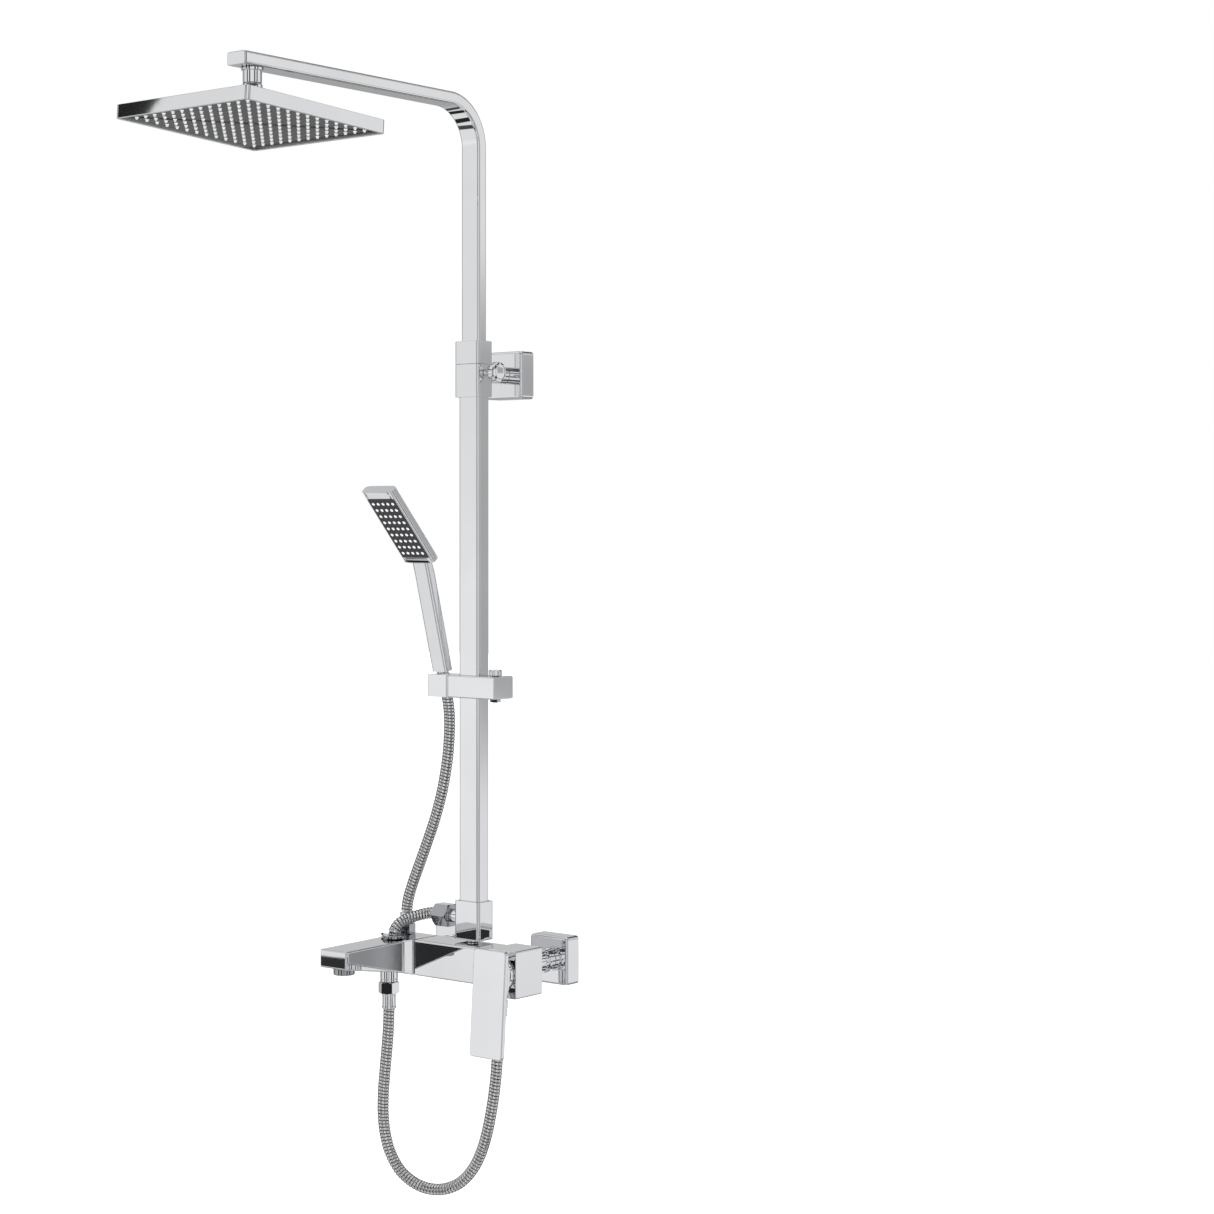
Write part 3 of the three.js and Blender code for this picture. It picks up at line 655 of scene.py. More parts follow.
@dataclass(frozen=True)
class HoseRun:
    """A hose of wound steel strip along a smooth route. Points are in metres."""

    name: str
    route: tuple[tuple[float, float, float], ...]
    length: float
    diameter: float = 13.4 * MM
    pitch: float = 3.9 * MM
    groove: float = 1.1 * MM
    sides: int = 20
    steps_per_turn: int = 8
    stretch_steps: int = 24
    # Share of each strip turn, round the groove bottom, that gets the painted groove shade.
    groove_shade_share: float = 0.1

    def line(self) -> list[Vector]:
        """Returns closely spaced points on the one smooth curve through the route."""
        known = [Vector(p) for p in self.route]
        ends = [2 * known[0] - known[1], *known, 2 * known[-1] - known[-2]]
        dense: list[Vector] = []
        for a, b, c, d in zip(ends, ends[1:], ends[2:], ends[3:]):
            knots = [0.0]
            for p, q in ((a, b), (b, c), (c, d)):
                knots.append(knots[-1] + math.sqrt((q - p).length))
            for k in range(self.stretch_steps):
                t = knots[1] + (knots[2] - knots[1]) * k / self.stretch_steps
                near = [self.between(p, q, knots, i, 1, t) for i, (p, q) in enumerate(((a, b), (b, c), (c, d)))]
                pair = [self.between(p, q, knots, i, 2, t) for i, (p, q) in enumerate(zip(near, near[1:]))]
                dense.append(self.middle(pair, knots, t))
        dense.append(known[-1])
        return self.spaced(dense)

    def between(self, p: Vector, q: Vector, knots: list[float], i: int, depth: int, t: float) -> Vector:
        """One step of the curve's pyramid of straight blends."""
        start, stop = knots[i], knots[i + depth]
        return p * ((stop - t) / (stop - start)) + q * ((t - start) / (stop - start))

    def middle(self, pair: list[Vector], knots: list[float], t: float) -> Vector:
        """The last blend, over the stretch between the two middle points."""
        start, stop = knots[1], knots[2]
        return pair[0] * ((stop - t) / (stop - start)) + pair[1] * ((t - start) / (stop - start))

    def spaced(self, dense: list[Vector]) -> list[Vector]:
        """Returns points on the curve at even steps of a strip turn."""
        step = self.pitch / self.steps_per_turn
        total = sum((b - a).length for a, b in zip(dense, dense[1:]))
        count = round(total / step)
        wanted = [total * k / count for k in range(count)]
        out: list[Vector] = []
        run = 0.0
        for a, b in zip(dense, dense[1:]):
            reach = (b - a).length
            while len(out) < count and wanted[len(out)] <= run + reach:
                out.append(a.lerp(b, (wanted[len(out)] - run) / max(reach, 1e-9)))
            run += reach
        return [*out, dense[-1]]

    def tube(self) -> tuple[bpy.types.Object, list[Vector]]:
        """Sweeps the wound strip's outline along the line.

        Returns:
            The hose and the points that it follows.
        """
        line = self.line()
        tangent = [(b - a).normalized() for a, b in zip(line, line[1:])]
        tangent.append(tangent[-1])
        side = Vector((0, 1, 0)) - tangent[0] * tangent[0].y
        side.normalize()
        verts: list[Vector] = []
        angles = [2 * math.pi * k / self.sides for k in range(self.sides)]
        for i, (spot, way) in enumerate(zip(line, tangent)):
            side = (side - way * side.dot(way)).normalized()
            other = way.cross(side)
            for k, a in enumerate(angles):
                phase = (i / self.steps_per_turn + k / self.sides) % 1.0
                dip = self.groove * max(0.0, math.cos(2 * math.pi * phase)) ** 3
                radius = self.diameter / 2 - dip
                verts.append(spot + (side * math.cos(a) + other * math.sin(a)) * radius)
        n = self.sides
        faces: list[Iterable[int]] = [
            (i * n + k, i * n + (k + 1) % n, (i + 1) * n + (k + 1) % n, (i + 1) * n + k)
            for i in range(len(line) - 1) for k in range(n)]
        faces += [tuple(range(n - 1, -1, -1)), tuple(range((len(line) - 1) * n, len(line) * n))]
        mesh = bpy.data.meshes.new(self.name)
        mesh.from_pydata(verts, [], faces)
        mesh.materials.append(HOSE_STEEL.material())
        mesh.materials.append(HOSE_PAINTED_GROOVE_SHADE.material())
        # Faces at the bottom of each groove get the near-black second material: painted shade between the ribs.
        for index, face in enumerate(mesh.polygons[:-2]):
            turn = (index // n + 0.5) / self.steps_per_turn + (index % n + 0.5) / n
            face.material_index = 1 if abs(turn - round(turn)) < self.groove_shade_share else 0
        mesh.update()
        piece = bpy.data.objects.new(self.name, mesh)
        bpy.context.scene.collection.objects.link(piece)
        edit(piece)
        bpy.ops.mesh.select_all(action="SELECT")
        bpy.ops.mesh.normals_make_consistent(inside=False)
        bpy.ops.object.mode_set(mode="OBJECT")
        bpy.ops.object.shade_smooth_by_angle(angle=math.radians(60))
        return piece, line


def metres(points: Sequence[tuple[float, float, float]]) -> tuple[tuple[float, float, float], ...]:
    """Route points given in millimetres, in metres."""
    return tuple((x * MM, y * MM, z * MM) for x, y, z in points)


LOOP = HoseRun("low_loop", metres((
    (-85, -121, -61.3), (-85.6, -121.2, -83), (-87.6, -121.7, -108), (-90.2, -122.4, -135), (-92.2, -122.9, -160),
    (-92.4, -123, -185), (-89.6, -122.2, -209), (-82.5, -120.3, -231), (-70.2, -117, -249.5), (-53, -112.3, -261.5),
    (-32.8, -106.8, -266.6), (-12, -101.2, -264), (6.2, -96.2, -254.2), (20.6, -92.3, -238), (31, -89.4, -217.5),
    (38, -87.5, -195), (43.2, -86.1, -170.5), (47.2, -85, -145), (49.9, -84.3, -120), (51, -84, -97),
    (51, -84, -75.3))), length=0.4703)
HAND = HoseRun("hand_shower_hose", metres((
    (-35.3, -74.6, 304), (-35.8, -70.9, 288), (-36.9, -68.7, 271), (-38.6, -67.5, 254.5), (-40.7, -66.8, 238),
    (-43.4, -66.6, 222), (-46.7, -66.8, 205.5), (-50.4, -67.4, 189), (-54.7, -68.4, 173), (-59.4, -69.8, 157),
    (-64.7, -71.4, 141.3), (-70.3, -73.2, 125.7), (-76, -75, 110), (-81.7, -76.8, 94.5), (-87.3, -78.5, 79),
    (-91.6, -79.6, 65.5), (-93.9, -79.9, 56.2), (-94.9, -80, 47))), length=0.2666)
LINK = HoseRun("link_pipe", metres((
    (-85, -112, 24.9), (-85, -111.8, 28.5), (-84, -106, 35.5), (-80.2, -95.5, 40.8), (-71.5, -83, 45),
    (-62, -75, 47.4), (-55, -74, 47.5), (-50, -74, 47.5))), length=0.0865)


@dataclass
class Hoses:
    """The low loop, the hand shower's hose and the ribbed link, with the fittings on their ends."""

    loop_left: tuple[float, float] = (-85 * MM, -121 * MM)
    loop_right: tuple[float, float] = (51 * MM, -84 * MM)
    hand_foot: tuple[float, float] = (-95 * MM, -80 * MM)

    def free_hoses(self) -> None:
        """Lays the two free hoses."""
        loop, line = LOOP.tube()
        dress(loop, HOSE_STEEL, "root", "loop_hose")
        hand, line = HAND.tube()
        dress(hand, HOSE_STEEL, "root", "hand_hose")
        hand.parent = None
        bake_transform(hand)

    def link(self) -> None:
        """Builds the ribbed link from the diverter to the column's base, and its nut."""
        link, _ = LINK.tube()
        dress(link, HOSE_STEEL, "root", "link_hose")
        dress(hexagon("link_nut_hex", "link_nut", Facing.RIGHT), DARK_CHROME, "root", "link_nut")
        low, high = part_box("column_nipple")
        r = (high.z - low.z) / 2
        middle = (low + high) / 2
        out = high.x - low.x
        nipple = turned("column_nipple_turned", (low.x, middle.y, middle.z),
                        [(0, 0), (r - 0.6 * MM, 0), (r - 0.6 * MM, 2 * MM), (r, 2.6 * MM), (r, out), (0, out)],
                        Facing.RIGHT)
        dress(soften(nipple, 0.25 * MM, 2), CHROME, "root", "column_nipple")

    def ferrule(self, node: str, name: str, spot: tuple[float, float], facing: Facing) -> None:
        """Builds a ferrule with a rolled lip at the hose's end and a waist.

        Args:
            node: The frame node that it fills.
            name: Its name.
            spot: Where its axis stands.
            facing: From the nut towards the hose.
        """
        low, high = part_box(node)
        r = (high.x - low.x) / 2
        length = high.z - low.z
        start = high.z if facing is Facing.DOWN else low.z
        waist = r - 0.6 * MM
        outline = [(0, 0), (r, 0), (r, 1.4 * MM), (waist, 2.2 * MM), (waist, length - 3.4 * MM),
                   (r, length - 2.6 * MM), (r, length - MM), (r - MM, length), (0, length)]
        ferrule = turned(name, (*spot, start), outline, facing)
        dress(soften(ferrule, 0.3 * MM, 2), CHROME, "root", node)

    def stub(self, node: str, name: str, spot: tuple[float, float], finish: Finish) -> None:
        """Builds a short round stub with a groove near its lower end."""
        low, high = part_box(node)
        r = (high.x - low.x) / 2
        cut = low.z + 2.6 * MM
        stub = turned(name, (*spot, 0), [(0, low.z), (r - 0.8 * MM, low.z), (r, low.z + 0.8 * MM), (r, cut),
                                         (r - 0.5 * MM, cut + 0.4 * MM), (r - 0.5 * MM, cut + 1.1 * MM),
                                         (r, cut + 1.5 * MM), (r, high.z - 0.8 * MM), (r - 0.8 * MM, high.z),
                                         (0, high.z)])
        dress(soften(stub, 0.15 * MM, 2), finish, "root", node)

    def fittings(self) -> None:
        """Builds the stubs, nuts and ferrules on the free hoses' ends."""
        self.stub("loop_stub_left", "stub_left", self.loop_left, CHROME)
        dress(hexagon("nut_left", "loop_nut_left", Facing.UP), CHROME, "root", "loop_nut_left")
        self.ferrule("loop_ferrule_left", "ferrule_left", self.loop_left, Facing.DOWN)
        self.stub("loop_stub_right", "stub_right", self.loop_right, CHROME)
        dress(hexagon("nut_right", "loop_nut_right", Facing.UP), CHROME, "root", "loop_nut_right")
        self.stub("loop_collar_right", "collar_right", self.loop_right, DARK_CHROME)
        self.ferrule("loop_ferrule_right", "ferrule_right", self.loop_right, Facing.DOWN)
        dress(hexagon("nut_hand", "hand_nut_low", Facing.UP), DARK_CHROME, "root", "hand_nut_low")
        self.ferrule("hand_ferrule_low", "ferrule_hand", self.hand_foot, Facing.UP)


# ---- Rail ---------------------------------------------------------------------------------

@dataclass
class Rail:
    """The base, the lower tube, and the two sleeves at its top with the wall stem and knob."""

    tube_wall: float = 1.2 * MM
    gap: float = 0.3 * MM
    edge: float = 1.2 * MM
    corner: float = 3.6 * MM
    knob_flutes: int = 20

    def sleeve(self, name: str, node: str, bore: tuple[Vector, Vector], *more: bpy.types.Object) -> bpy.types.Object:
        """Builds a square sleeve with a hole for the tube.

        Args:
            name: The sleeve's name.
            node: The frame node that it fills.
            bore: Lowest and highest corners of the hole.
            more: Further shapes to cut out.

        Returns:
            The sleeve.
        """
        low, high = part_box(node)
        body = cuboid(name, low, high, self.corner, Facing.UP)
        carve(body, cuboid("hole", *bore, 1.2 * MM, Facing.UP), *more)
        return dress(soften(body, self.edge), CHROME, "root", node)

    def build(self) -> None:
        """Builds the rail's fixed pieces from the mixer to the upper sleeve."""
        low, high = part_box("lower_tube")
        play = Vector((self.gap, self.gap, 0))
        deep = Vector((0, 0, 5 * MM))
        tube = cuboid("rail_tube", low, high, self.corner, Facing.UP)
        wall = Vector((self.tube_wall, self.tube_wall, 0))
        carve(tube, cuboid("tube_bore", low + wall - deep, high - wall + deep, MM, Facing.UP))
        dress(soften(tube, 0.3 * MM, 2), CHROME, "root", "lower_tube")

        base_low, base_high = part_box("column_base")
        self.sleeve("rail_base", "column_base",
                    (Vector((low.x, low.y, low.z)) - play, Vector((high.x, high.y, base_high.z + 5 * MM)) + play))
        foot_low, foot_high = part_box("column_foot")
        middle = (foot_low + foot_high) / 2
        r, tall = (foot_high.x - foot_low.x) / 2, foot_high.z - foot_low.z
        foot = turned("rail_foot", (middle.x, middle.y, foot_low.z),
                      [(0, 0), (r - 0.4 * MM, 0), (r, 0.4 * MM), (r, tall - 0.4 * MM), (r - 0.4 * MM, tall),
                       (0, tall)])
        dress(soften(foot, 0.1 * MM, 2), CHROME, "root", "column_foot")

        self.sleeve("bracket_sleeve", "wall_bracket",
                    (Vector((low.x, low.y, 0.6)) - play, Vector((high.x, high.y, 0.7)) + play))
        up_low, up_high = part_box("upper_tube")
        slot_low = Vector((up_low.x - 0.5 * MM, (low.y + high.y) / 2 - 7.7 * MM, high.z - MM))
        slot_high = Vector((up_high.x + 0.5 * MM, (low.y + high.y) / 2 + 7.7 * MM, 0.73))
        self.sleeve("upper_sleeve", "height_collar",
                    (Vector((low.x, low.y, 0.68)) - play, Vector((high.x, high.y, high.z + self.gap)) + play),
                    cuboid("slot", slot_low, slot_high, 2 * MM, Facing.UP))

    def stem_and_knob(self) -> None:
        """Builds the stem from the wall to the bracket and the fluted locking knob."""
        low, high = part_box("bracket_stem")
        middle = (low + high) / 2
        r, out = (high.x - low.x) / 2, -low.y
        stem = turned("wall_stem", (middle.x, 0, middle.z),
                      [(0, 0), (r, 0), (r, out - 7 * MM), (r - 0.8 * MM, out - 6.4 * MM),
                       (r - 0.8 * MM, out - 5.6 * MM),
                       (r, out - 5 * MM), (r, out), (0, out)], Facing.OUT)
        dress(soften(stem, 0.25 * MM, 2), CHROME, "root", "bracket_stem")

        low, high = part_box("height_knob")
        middle = (low + high) / 2
        long = high.x - low.x
        r = (high.z - low.z) / 2
        knob = turned("height_knob_turned", (low.x, middle.y, middle.z),
                      [(0, 0), (4.5 * MM, 0), (4.5 * MM, 9 * MM), (9 * MM, 9.6 * MM), (r - 0.8 * MM, 11.5 * MM),
                       (r, 13.5 * MM), (r, 19.5 * MM), (r - MM, 21.6 * MM), (8.8 * MM, long),
                       (7.4 * MM, long - 0.8 * MM), (0, long - 0.8 * MM)], Facing.RIGHT, self.knob_flutes * 2)
        edit(knob)
        rim = r * 0.985

        def on_flute(centre: Vector, normal: Vector) -> bool:
            """Says whether a face is every second one round the rim."""
            away = Vector((0, centre.y - middle.y, centre.z - middle.z))
            turn = math.degrees(math.atan2(away.y, away.z)) % 360
            return away.length > rim and abs(normal.x) < 0.1 and int(turn * self.knob_flutes / 180) % 2 == 0

        pick_faces(knob, on_flute)
        bpy.ops.mesh.inset(thickness=0.25 * MM, depth=-0.7 * MM, use_individual=True)
        bpy.ops.object.mode_set(mode="OBJECT")
        dress(soften(knob, 0.2 * MM, 2), CHROME, "height_lock", "height_knob")


# ---- Arm and rain head --------------------------------------------------------------------

@dataclass
class Arm:
    """The upper tube that bends into the arm, its end cap and the ball joint's fixed half."""

    depth: float = 14.4 * MM
    bend: float = 52 * MM
    corner: float = 3 * MM
    rail_y: float = -74 * MM
    ball: tuple[float, float, float] = (6 * MM, -425 * MM, 957 * MM)

    def tube(self) -> None:
        """Draws the tube up, round the bend and out to the cap."""
        low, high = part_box("upper_tube")
        level = high.z - self.depth / 2
        start = level - self.bend
        tube = cuboid("arm_tube", (low.x, self.rail_y - self.depth / 2, low.z),
                      (high.x, self.rail_y + self.depth / 2, start), self.corner, Facing.UP)
        edit(tube)
        pick_faces(tube, lambda _, normal: normal.z > 0.9)
        bpy.ops.mesh.spin(steps=20, angle=-math.pi / 2, center=(0, self.rail_y - self.bend, start), axis=(1, 0, 0))
        arm_run = low.y - (self.rail_y - self.bend)
        bpy.ops.mesh.extrude_region_move(TRANSFORM_OT_translate={"value": (0, arm_run, 0)})
        bpy.ops.mesh.select_all(action="SELECT")
        bpy.ops.mesh.remove_doubles(threshold=WELD)
        bpy.ops.mesh.normals_make_consistent(inside=False)
        bpy.ops.object.mode_set(mode="OBJECT")
        dress(soften(tube, 0.3 * MM, 2, 50), CHROME, "column", "upper_tube")
        low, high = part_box("arm_cap")
        cap = cuboid("arm_end", low, high, self.corner, Facing.OUT)
        dress(soften(cap, 1.2 * MM), CHROME, "column", "arm_cap")

    def joint(self) -> None:
        """Builds the nipple under the arm and the nut round the ball."""
        low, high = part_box("arm_nipple")
        base = self.ball[2]
        bottom, top = low.z - base, high.z - base
        nipple = turned("arm_joint", self.ball,
                        [(0, bottom), (9.6 * MM, bottom), (10.2 * MM, bottom + 0.7 * MM), (10.2 * MM, top - 3.2 * MM),
                         (12 * MM, top - 2.8 * MM), (12 * MM, top), (0, top)])
        dress(soften(nipple, 0.3 * MM, 2), CHROME, "column", "arm_nipple")
        cavity = 8.6 * MM
        arc = [(cavity * math.cos(a), cavity * math.sin(a)) for a in (math.radians(d) for d in (90, 60, 30, 0, -28))]
        cup = turned("ball_nut", self.ball,
                     [(7.6 * MM, -4 * MM), (9.8 * MM, -4 * MM), (11 * MM, -2.6 * MM), (11.4 * MM, 4 * MM),
                      (10.6 * MM, 11 * MM), (9.8 * MM, 12 * MM), (0, 12 * MM), *[(max(r, 0), h) for r, h in arc],
                      (7.6 * MM, -4 * MM)])
        dress(soften(cup, 0.3 * MM, 2), CHROME, "head_swivel", "swivel_nut")


@dataclass
class RainHead:
    """The square head: housing, spray plate, nozzles and the neck that ends in the ball."""

    pivot: tuple[float, float, float] = (6 * MM, -425 * MM, 957 * MM)
    tilt: float = math.radians(-3.2)
    side: float = 200 * MM
    bottom: float = -33 * MM
    rim: float = 14.8 * MM
    wall: float = 3 * MM
    recess: float = 2.4 * MM
    corner: float = 5 * MM
    rows: int = 13
    nozzle_pitch: float = 14 * MM

    def upright(self, x: float, y: float, z: float) -> Vector:
        """A place in the head before it is tilted, measured from the ball."""
        return Vector(self.pivot) + Vector((x, y, z))

    def slab(self, name: str, half: float, low: float, high: float, corner: float) -> bpy.types.Object:
        """A square slab round the head's middle."""
        return cuboid(name, self.upright(-half, -half, low), self.upright(half, half, high), corner, Facing.UP)

    def finish_piece(self, piece: bpy.types.Object, finish: Finish, *nodes: str) -> None:
        """Tilts a piece with the head and dresses it."""
        dress(lean_about(piece, self.tilt, self.pivot), finish, "rain_head", *nodes)

    def build(self) -> None:
        """Builds the head upright, tilting each piece as it is finished."""
        half = self.side / 2
        top = self.bottom + self.rim
        housing = self.slab("rain_housing", half, self.bottom, top, self.corner)
        carve(housing, self.slab("hollow", half - self.wall, self.bottom - MM, top - self.wall,
                                 self.corner - 1.5 * MM))
        self.finish_piece(soften(housing, 1.2 * MM), CHROME, "head_housing")
        plate_half = half - self.wall - 0.3 * MM
        face = self.bottom + self.recess
        plate = self.slab("rain_plate", plate_half, face, face + 2 * MM, self.corner - 1.8 * MM)
        edit(plate)
        pick_faces(plate, lambda _, normal: normal.z < -0.9)
        bpy.ops.mesh.inset(thickness=3.2 * MM)
        bpy.ops.mesh.inset(thickness=0.6 * MM, depth=-0.5 * MM)
        bpy.ops.object.mode_set(mode="OBJECT")
        self.finish_piece(soften(plate, 0.2 * MM, 2), SPRAY_PLATE, "head_face")
        carried_over("head_mat", NOZZLE)
        neck = turned("rain_neck", self.pivot,
                      [(0, top + 0.3 * MM), (30 * MM, top + 0.3 * MM), (30 * MM, top + 1.2 * MM),
                       (26 * MM, top + 3.2 * MM), (4.6 * MM, top + 4.2 * MM), (4.6 * MM, -6.5 * MM),
                       (6 * MM, -5.3 * MM),
                       (7.5 * MM, -2.8 * MM), (8 * MM, 0), (7.5 * MM, 2.8 * MM), (6 * MM, 5.3 * MM),
                       (3.4 * MM, 7.2 * MM), (0, 8 * MM)])
        self.finish_piece(soften(neck, 0.3 * MM, 2), CHROME, "head_neck")

    def nozzles(self) -> None:
        """Builds one nozzle and repeats it in rows over the plate."""
        face = self.bottom + self.recess + 0.5 * MM
        reach = -(self.rows - 1) / 2 * self.nozzle_pitch
        nozzle = turned("rain_nozzles", self.upright(reach, reach, face),
                        [(0, 0.2 * MM), (2.2 * MM, 0.2 * MM), (2 * MM, -0.4 * MM), (1.5 * MM, -0.8 * MM),
                         (1.25 * MM, -2.2 * MM), (0.7 * MM, -2.3 * MM), (0, -1.7 * MM)], Facing.UP, 10)
        step = self.nozzle_pitch
        for way in ((step, 0, 0), (0, step, 0)):
            modify(nozzle, "ARRAY", count=self.rows, use_relative_offset=False, use_constant_offset=True,
                   constant_offset_displace=way)
        take_up(nozzle)
        bpy.ops.object.shade_smooth_by_angle(angle=math.radians(40))
        self.finish_piece(nozzle, NOZZLE)


# ---- Slider and hand shower ---------------------------------------------------------------

@dataclass
class Slider:
    """The block that slides on the rail, its locking knob, and the tilting holder."""

    knob: tuple[float, float] = (40 * MM, -75 * MM)
    gap: float = 0.3 * MM
    corner: float = 1.8 * MM
    cone_at: tuple[float, float, float] = (-35.3 * MM, -78 * MM, 317 * MM)
    cone_lean: float = math.radians(15)

    def block(self) -> None:
        """Builds the block with its holes for the rail and the knob's screw."""
        low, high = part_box("slider_block")
        rail_low, rail_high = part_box("lower_tube")
        play = Vector((self.gap, self.gap, 0))
        body = cuboid("slide_block", low, high, self.corner, Facing.RIGHT)
        hole = cuboid("hole", Vector((rail_low.x, rail_low.y, low.z - 5 * MM)) - play,
                      Vector((rail_high.x, rail_high.y, high.z + 5 * MM)) + play, 1.2 * MM, Facing.UP)
        x, y = self.knob
        screw = turned("screw_hole", (x, y, 0), [(0, low.z - MM), (3.5 * MM, low.z - MM), (3.5 * MM, high.z + MM),
                                                 (0, high.z + MM)])
        carve(body, hole, screw)
        dress(soften(body, 1.8 * MM), CHROME, "slider", "slider_block")
        dress(hexagon("slide_nut", "slider_nut", Facing.UP, 3.5 * MM, 0.15), CHROME, "slider", "slider_nut")

    def screw_knob(self) -> None:
        """Builds the knob on its screw, with grip facets round its head."""
        low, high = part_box("slider_knob")
        x, y = self.knob
        r = (high.x - low.x) / 2
        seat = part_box("slider_block")[1].z + self.gap
        knob = turned("slide_knob", (x, y, 0),
                      [(0, low.z), (3.1 * MM, low.z), (3.1 * MM, seat), (r - MM, seat), (r, seat + 0.9 * MM),
                       (r, high.z - 1.1 * MM), (r - MM, high.z), (0, high.z)], Facing.UP, 36)
        edit(knob)
        picked = pick_faces(knob, lambda centre, normal: abs(normal.z) < 0.1 and centre.z > seat and
                            int((math.degrees(math.atan2(centre.y - y, centre.x - x)) % 360) / 10) % 3 == 0)
        log.info("knob facets: %d", picked)
        bpy.ops.mesh.inset(thickness=0.15 * MM, depth=-0.5 * MM, use_individual=True)
        bpy.ops.object.mode_set(mode="OBJECT")
        dress(soften(knob, 0.15 * MM, 2), CHROME, "slider_lock", "slider_knob")

    def holder(self) -> None:
        """Builds the holder with its leaning conical hole."""
        low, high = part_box("holder")
        body = cuboid("hand_holder", low, high, 2.4 * MM, Facing.UP)
        reach = 22 * MM
        cone = turned("cone", self.cone_at, [(0, -reach), (7.4 * MM, -reach), (7.75 * MM, -14 * MM),
                                             (8.7 * MM, 13 * MM), (9 * MM, reach), (0, reach)])
        carve(body, lean_about(cone, self.cone_lean, self.cone_at))
        dress(soften(body, 1.3 * MM), CHROME, "holder", "holder")


